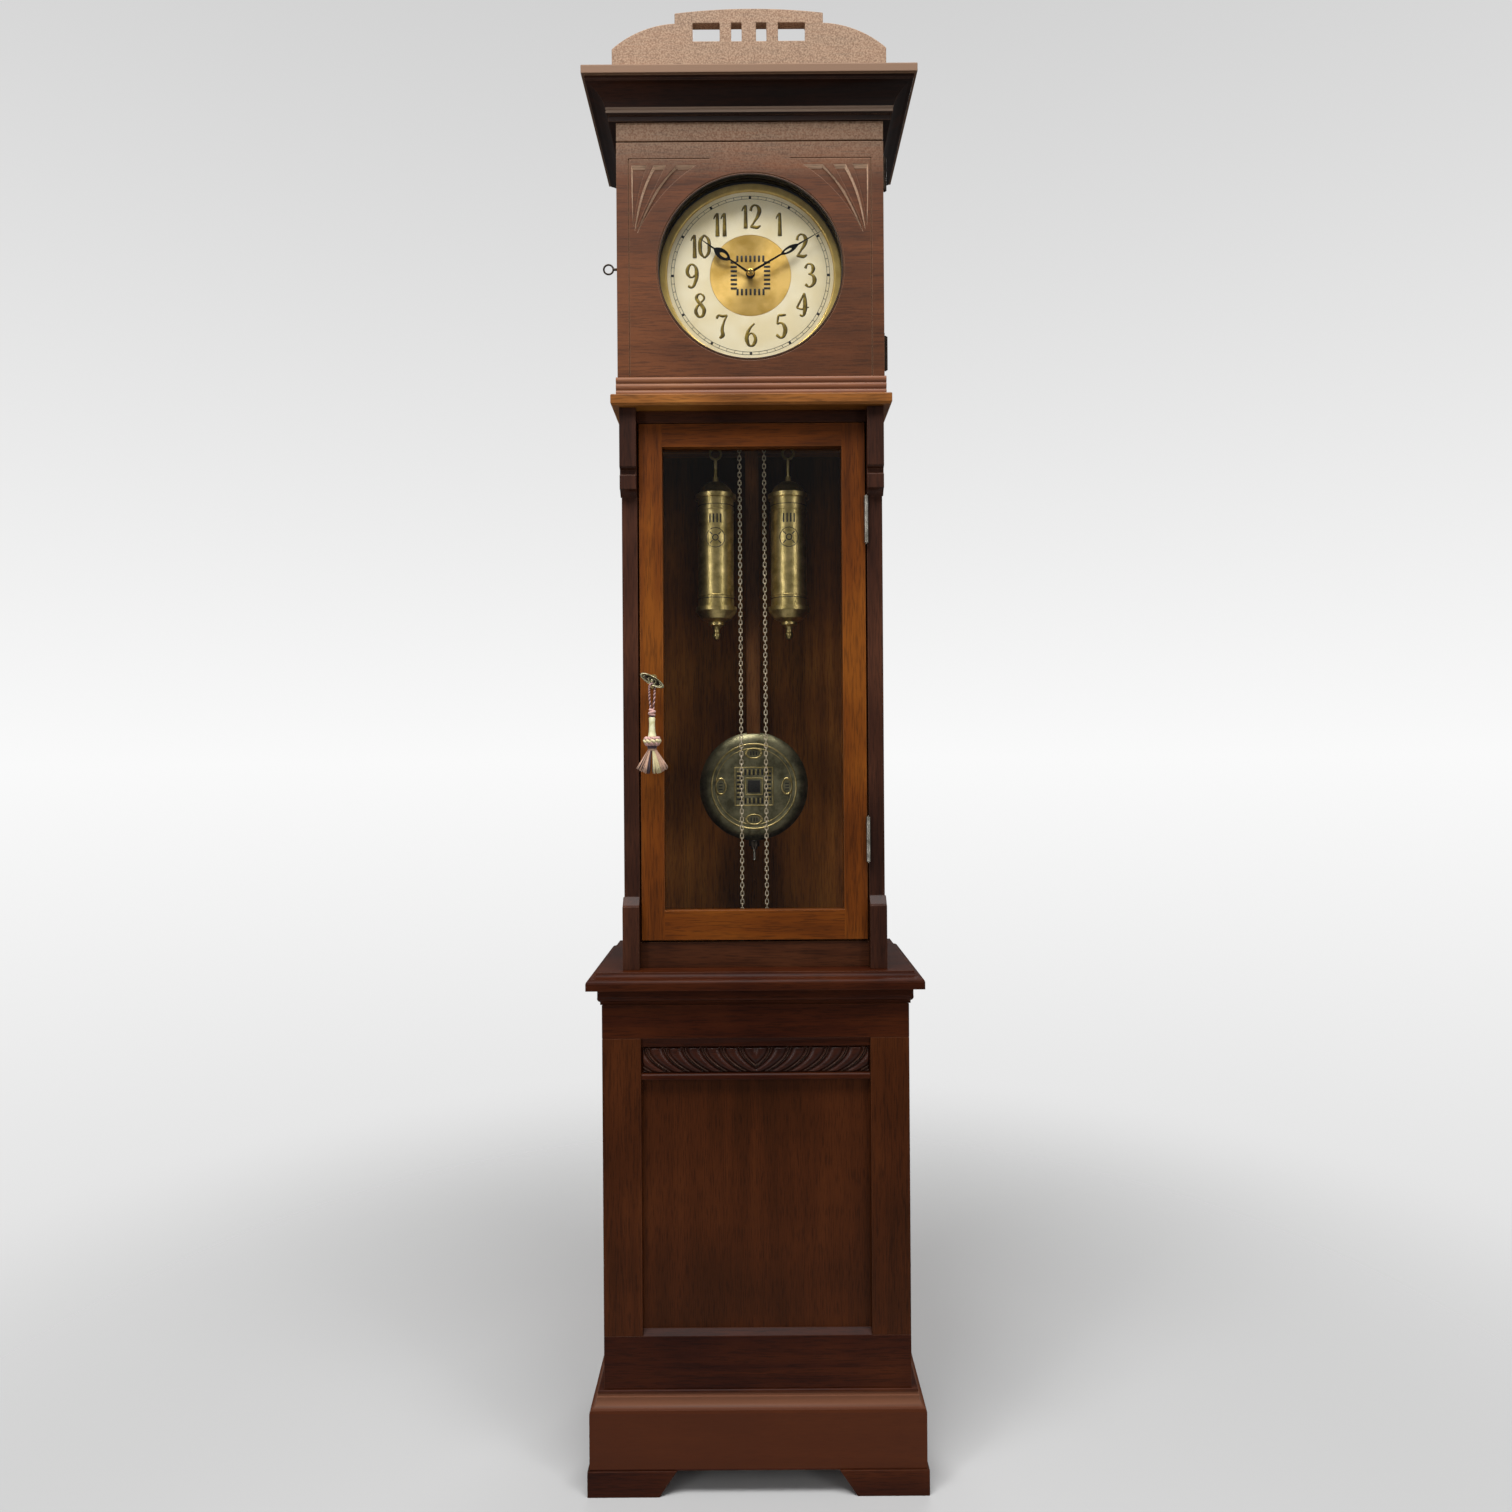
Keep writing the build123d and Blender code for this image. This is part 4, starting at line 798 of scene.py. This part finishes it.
for side, sign in (("left", -1), ("right", 1)):
    x = sign * weight["x"]
    height, pitch, size = weight["bars"]
    inlays = [softBar((x + k * pitch, 0, height), size, blackInkAndShadow, bevel=0.12 * mm) for k in (-1.5, -0.5, 0.5, 1.5)]
    inlays.append(ringPiece((x, 0, weight["wheel"]), weight["rim"], 0.55 * mm, blackInkAndShadow, segments=(48, 8)))
    inlays.append(ringPiece((x, 0, weight["wheel"]), weight["hub"], 0.8 * mm, blackInkAndShadow, segments=(28, 8)))
    for spoke in range(4):
        a = math.pi / 4 + spoke * math.pi / 2
        place = (x + 9 * mm * math.sin(a), 0, weight["wheel"] + 9 * mm * math.cos(a))
        inlays.append(softBar(place, weight["spoke"], blackInkAndShadow, bevel=0.1 * mm, turn=a))
    for piece in inlays:
        wrapOnWeight(piece, x, 0.02 * mm)
    joinPieces(inlays, side + "WeightEngraving", side + "_weight")
    bands = [ringPiece((x, weight["y"], z * mm), weight["r"], wire * mm, material, axis="Z", segments=(72, 10))
             for z, wire, material in weight["bands"]]
    joinPieces(bands, side + "WeightBands", side + "_weight")
print("weights done")

# ---- ornament on the bob ----

bob = {"z": 957 * mm, "front": 26 * mm, "rings": ((64, 0.8, 1.8), (57.5, 0.5, 0.8)), "frames": (28.6, 12.5),
       "plate": 19, "slots": 7, "slotPitch": 6.4, "slotRow": 21.5, "slot": (2.6, 9), "rib": (1.5, 8),
       "shields": 50, "shield": 7.4}


def bobOrnament():
    y, z = bob["front"], bob["z"]
    raised = [ringPiece((0, y + back * mm, z), radius * mm, wire * mm, antiqueBrass, segments=(120, 10))
              for radius, back, wire in bob["rings"]]
    for half in bob["frames"]:
        for sign in (-1, 1):
            away = sign * half * mm
            raised.append(softBar((0, y, z + away), (2 * half * mm, 1.6 * mm, 1.5 * mm), antiqueBrass))
            raised.append(softBar((away, y, z), (1.5 * mm, 1.6 * mm, 2 * half * mm), antiqueBrass))
    raised += slotSquare(bob, y, z, 1.3 * mm, antiqueBrass, bob["rib"], shift=0.5)
    dark = [softBar((0, y, z), (bob["plate"] * mm, 1.2 * mm, bob["plate"] * mm), blackInkAndShadow, bevel=0.5 * mm)]
    dark += slotSquare(bob, y, z, 0.9 * mm, blackInkAndShadow, bob["slot"])
    for quarter in range(4):
        a = quarter * math.pi / 2
        out = bob["shields"] * mm
        centre = (out * math.sin(a), y, z + out * math.cos(a))
        raised.append(ringPiece(centre, bob["shield"] * mm, 1.2 * mm, antiqueBrass, squeeze=(1.6, 1, 1),
                                segments=(40, 8), turn=a))
        for k in (-1, 0, 1):
            place = (centre[0] + k * 4.4 * mm * math.cos(a), y, centre[2] - k * 4.4 * mm * math.sin(a))
            dark.append(softBar(place, (1.6 * mm, 0.8 * mm, 6 * mm), blackInkAndShadow, bevel=0.2 * mm, turn=a))
    joinPieces(raised, "bobRelief", "pendulum")
    joinPieces(dark, "bobEngraving", "pendulum")


bobOrnament()
print("bob done")

# ---- key and tassel ----

key = {"x": -139 * mm, "z": 1107 * mm, "y": -122 * mm, "tilt": math.radians(30)}


def trunkKey():
    centre = (key["x"], key["y"], key["z"])
    parts = [ringPiece(centre, 16.6 * mm, 2.1 * mm, keyMetal, squeeze=(1, 0.33, 1), turn=key["tilt"],
                       segments=(72, 14)),
             ringPiece((key["x"], key["y"] + 1.6 * mm, key["z"]), 13.2 * mm, 1.2 * mm, keyMetal,
                       squeeze=(1, 0.32, 1), turn=key["tilt"], segments=(64, 10)),
             ringPiece((key["x"], key["y"] + 1.6 * mm, key["z"]), 6.0 * mm, 1.1 * mm, keyMetal,
                       squeeze=(1, 0.5, 1), turn=key["tilt"], segments=(48, 8))]
    dish = turnedPiece([(0, 1.3 * mm), (11 * mm, 1.2 * mm), (14.6 * mm, 0.2 * mm), (14.6 * mm, -0.5 * mm),
                        (11 * mm, 0.4 * mm), (0, 0.5 * mm)], (0, 0, 0), darkIron, "dish", axis="Y", steps=48)
    dish.data.transform(Matrix.Translation((key["x"], key["y"] + 2.6 * mm, key["z"]))
                        @ Matrix.Rotation(key["tilt"], 4, "Y") @ Matrix.Diagonal((1, 1, 0.33, 1)))
    parts.append(dish)
    shank = [(0, 0), (1.9, 0), (1.9, 29), (3.6, 30), (3.6, 31.5), (2.5, 33), (3.2, 34.5), (2.2, 37), (2.2, 42),
             (0, 42)]
    parts.append(turnedPiece([(r * mm, h * mm) for r, h in shank], (key["x"], -80 * mm, key["z"]), keyMetal,
                             "shank", axis="Y", steps=28))
    parts.append(softBar((key["x"], -82.2 * mm, key["z"] - 3.4 * mm), (2.2 * mm, 2.4 * mm, 4.4 * mm), keyMetal))
    piece = joinPieces(parts, "trunkKey", "trunk_key")
    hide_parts("trunk_key")


def routeLine(points):
    # the smooth line that a cord's route gives
    curve = bpy.data.curves.new("route", "CURVE")
    curve.dimensions = "3D"
    spline = curve.splines.new("NURBS")
    spline.points.add(len(points) - 1)
    for knot, point in zip(spline.points, points):
        knot.co = (*point, 1)
    spline.order_u = 3
    spline.use_endpoint_u = True
    spline.resolution_u = 12
    holder = meshFromCurve(curve, "route")
    line = [vertex.co.copy() for vertex in holder.data.vertices]
    bpy.data.objects.remove(holder)
    return line


def twistedCord(line, name, radius, turns, materials):
    # two strands laid round each other
    pieces = []
    for strand, material in enumerate(materials):
        helix = []
        count = 150
        for k in range(count + 1):
            t = k / count * (len(line) - 1)
            i = min(int(t), len(line) - 2)
            point = line[i].lerp(line[i + 1], t - i)
            along = (line[i + 1] - line[i]).normalized()
            side = along.cross(Vector((0, 1, 0))).normalized()
            front = along.cross(side)
            a = 2 * math.pi * (turns * k / count + strand / len(materials))
            helix.append(point + 0.5 * radius * (math.cos(a) * side + math.sin(a) * front))
        pieces.append(drawnWires([helix], [[0.56 * radius] * len(helix)], name + "Strand", material))
    return pieces


# both legs start inside the bow, pass in front of and behind its rim and meet in the knot; the left one runs
# on through the head to the tied waist
hang = {"x": key["x"], "y": key["y"] - 4.4 * mm}
tasselRoutes = [[(hang["x"] + dx * mm, hang["y"] + dy * mm, z * mm) for dx, dy, z in route] for route in (
    [(0.0, 4.4, 1102.8), (-1.6, 0.4, 1102.4), (-3.6, -0.6, 1098), (-3.6, 0.0, 1092), (-3.3, 0.0, 1081),
     (-1.7, 0.0, 1067), (0.0, 0.0, 1058), (0.0, 0.0, 1040), (0.0, 0.0, 1018)],
    [(0.0, 4.4, 1102.8), (1.6, 8.6, 1102.0), (3.4, 9.0, 1097), (3.6, 4.0, 1092), (3.3, 0.0, 1081),
     (1.7, 0.0, 1067), (1.2, 0.0, 1060)])]


def tassel():
    x, y = hang["x"], hang["y"]
    knot = []
    for k, (radius, wire, lean) in enumerate(((2.6, 2.0, 22), (3.4, 2.1, -18), (3.0, 1.9, 15), (3.1, 1.2, 0))):
        turn = ringPiece((0, 0, 0), radius * mm, wire * mm, pinkSilk if k < 3 else darkSilk, axis="Z",
                         segments=(28, 10), turn=math.radians(lean))
        turn.data.transform(Matrix.Translation((x, y, (1065.6 - 2.7 * k) * mm)))
        knot.append(turn)
    knotPiece = joinPieces(knot, "tasselKnot", "tassel")
    stemShape = [(0, 1057), (3.4, 1056.8), (4.4, 1055), (4.1, 1050), (4.0, 1043), (4.6, 1036), (5.6, 1031),
                 (6.4, 1029), (4, 1028), (0, 1028)]
    stem = turnedPiece([(r * mm, z * mm) for r, z in stemShape], (x, y, 0), ivoryStem, "tasselStem", steps=36)
    stemPiece = joinPieces([stem], "tasselStem", "tassel")
    ruffles = []
    for ring, (radius, z) in enumerate(((8.2, 1027), (9.4, 1023.5), (7.6, 1020))):
        points = []
        for k in range(72):
            a = 2 * math.pi * k / 72
            wave = 1.5 * math.sin(9 * a + ring * 1.3)
            reach = (radius + wave) * mm
            points.append(Vector((x + reach * math.cos(a), y + 0.8 * reach * math.sin(a),
                                  (z + 1.2 * math.cos(9 * a + ring)) * mm)))
        ruffles.append(drawnWires([points], [[2.0 * mm] * len(points)], "ruffle",
                                  creamSilk if ring == 1 else pinkSilk, closed=True))
    for radius, z in ((5.6, 1016.5), (5.2, 1014.5)):
        ruffles.append(ringPiece((x, y, z * mm), radius * mm, 1.3 * mm, darkSilk, axis="Z", segments=(36, 8)))
    core = turnedPiece([(0, 1028 * mm), (6.5 * mm, 1027 * mm), (7.5 * mm, 1022 * mm), (5.5 * mm, 1016 * mm),
                        (4.5 * mm, 1011 * mm), (0, 1010 * mm)], (x, y, 0), roseSilk, "core", steps=24)
    collar = joinPieces(ruffles + [core], "tasselCollar", "tassel")
    strandsBy = {roseSilk: [], creamSilk: [], darkSilk: []}
    for k in range(230):
        spread = random.uniform(-1, 1)
        bundle = -0.5 if spread < -0.08 else 0.42
        endX = (bundle + (spread - bundle) * 0.85) * 23.5
        endY = random.uniform(-7, 7) * (1 - 0.3 * abs(spread))
        low = 978.5 + 3.5 * abs(spread) ** 2 * 2 + random.uniform(0, 4)
        startX, startY = endX * 0.17, endY * 0.4
        material = creamSilk if 0.0 < spread < 0.55 else roseSilk
        if -0.3 < spread < -0.02 or random.random() < 0.1:
            material = darkSilk
        points = []
        for t in (0, 0.25, 0.5, 0.75, 1):
            bulge = math.sin(math.pi * t) * 1.6
            across = startX + (endX - startX) * t ** 1.15 + math.copysign(bulge, endX) * 0.4
            points.append(Vector((x + across * mm,
                                  y + (startY + (endY - startY) * t + random.uniform(-0.3, 0.3)) * mm,
                                  (1015 - (1015 - low) * t) * mm)))
        strandsBy[material].append(points)
    threads = [drawnWires(routes, [[(0.62 - 0.025 * k) * mm for k in range(5)]] * len(routes), "threads", material,
                          sides=6) for material, routes in strandsBy.items()]
    skirt = joinPieces(threads, "tasselFringe", "tassel")
    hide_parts("tassel_head")
    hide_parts("tassel_skirt")
    lines = [routeLine(route) for route in tasselRoutes]
    lengths = [sum((b - a).length for a, b in zip(line, line[1:])) for line in lines]
    for number, (line, length) in enumerate(zip(lines, lengths)):
        strands = twistedCord(line, "tasselCord", 1.35 * mm, length / (5.2 * mm), (pinkSilk, darkSilk))
        joinPieces(strands, "tasselCordLeg" + str(number + 1), "tassel")
    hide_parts("tassel_cord")


trunkKey()
tassel()
print("tassel done")

# ---- room, light and camera ----

room = {"floor": "#BFBFBF", "radius": 7.0, "fadeFrom": 0.45, "fadeTo": 1.9, "light": 0.16}


def floorPaper():
    # pale paper that fades into the background some way behind the clock
    material, tree = startMaterial("palePaper")
    here = addNode(tree, "ShaderNodeTexCoord").outputs["Object"]
    away = addNode(tree, "ShaderNodeVectorMath", {0: here}, operation="LENGTH")
    fade = addNode(tree, "ShaderNodeMapRange", {"Value": away.outputs["Value"]}, From_Min=room["fadeFrom"],
                   From_Max=room["fadeTo"], interpolation_type="SMOOTHSTEP")
    paper = addNode(tree, "ShaderNodeBsdfPrincipled", Roughness=0.95)
    paper.inputs["Base Color"].default_value = linear(room["floor"])
    clear = addNode(tree, "ShaderNodeBsdfTransparent")
    finishMaterial(tree, addNode(tree, "ShaderNodeMixShader", {0: fade.outputs[0], 1: paper.outputs[0],
                                                              2: clear.outputs[0]}))
    return material


deselectAll()
bpy.ops.mesh.primitive_circle_add(vertices=96, radius=room["radius"], fill_type="NGON", location=(0, 0, 0))
floor = bpy.context.object
floor.name = "floor"
floor.data.materials.append(floorPaper())

# the studio looks pale, a little darker overhead and underfoot, and lights the clock only softly
world = bpy.data.worlds.new("studio")
bpy.context.scene.world = world
world.use_nodes = True
studio = world.node_tree
studio.nodes.clear()
toward = addNode(studio, "ShaderNodeTexCoord")
height = addNode(studio, "ShaderNodeSeparateXYZ", {"Vector": toward.outputs["Generated"]})
shade = colourRamp(studio, absolute(studio, height.outputs["Z"]), [(0.0, "#FAFAFA"), (0.6, "#D0D0D0")])
seen = addNode(studio, "ShaderNodeBackground", {"Color": shade.outputs[0]}, Strength=1.0)
lit = addNode(studio, "ShaderNodeBackground", Strength=room["light"])
lit.inputs["Color"].default_value = linear("#FFFFFF")
ray = addNode(studio, "ShaderNodeLightPath")
both = addNode(studio, "ShaderNodeMixShader", {0: ray.outputs["Is Camera Ray"], 1: lit.outputs[0],
                                              2: seen.outputs[0]})
worldOut = addNode(studio, "ShaderNodeOutputWorld")
studio.links.new(both.outputs[0], worldOut.inputs["Surface"])


def softbox(name, place, target, size, power):
    lamp = bpy.data.lights.new(name, "AREA")
    lamp.shape = "RECTANGLE"
    lamp.size, lamp.size_y = size
    lamp.energy = power
    holder = bpy.data.objects.new(name, lamp)
    bpy.context.scene.collection.objects.link(holder)
    holder.location = place
    holder.rotation_euler = (Vector(target) - Vector(place)).to_track_quat("-Z", "Y").to_euler()


softboxes = {"keyLight": ((-0.9, -1.5, 4.1), (0, -0.1, 1.2), (1.6, 1.0), 105),
             "topLight": ((0.7, -1.2, 4.0), (0, -0.1, 1.4), (1.4, 0.8), 70),
             "leftStrip": ((-1.7, -2.2, 1.3), (0, 0, 1.2), (0.35, 1.9), 14),
             "rightStrip": ((1.8, -2.1, 1.3), (0, 0, 1.2), (0.35, 1.9), 11),
             "rearLight": ((0.4, 2.4, 3.6), (0, 0.2, 0.6), (2.4, 1.2), 45)}
for name, rule in softboxes.items():
    softbox(name, *rule)

view = {"lens": 25.7, "shift": (0.0015, 0.0026), "place": (0, -1.605, 0.997), "roll": math.radians(-0.39)}
eye = bpy.data.cameras.new("eye")
eye.sensor_width = 36
eye.lens = view["lens"]
eye.shift_x, eye.shift_y = view["shift"]
camera = bpy.data.objects.new("eye", eye)
bpy.context.scene.collection.objects.link(camera)
camera.location = view["place"]
level = Matrix.Rotation(math.pi / 2, 3, "X")
camera.rotation_euler = (level @ Matrix.Rotation(view["roll"], 3, "Z")).to_euler()
bpy.context.scene.camera = camera
bpy.context.scene.view_settings.view_transform = "Standard"

print("scene done")
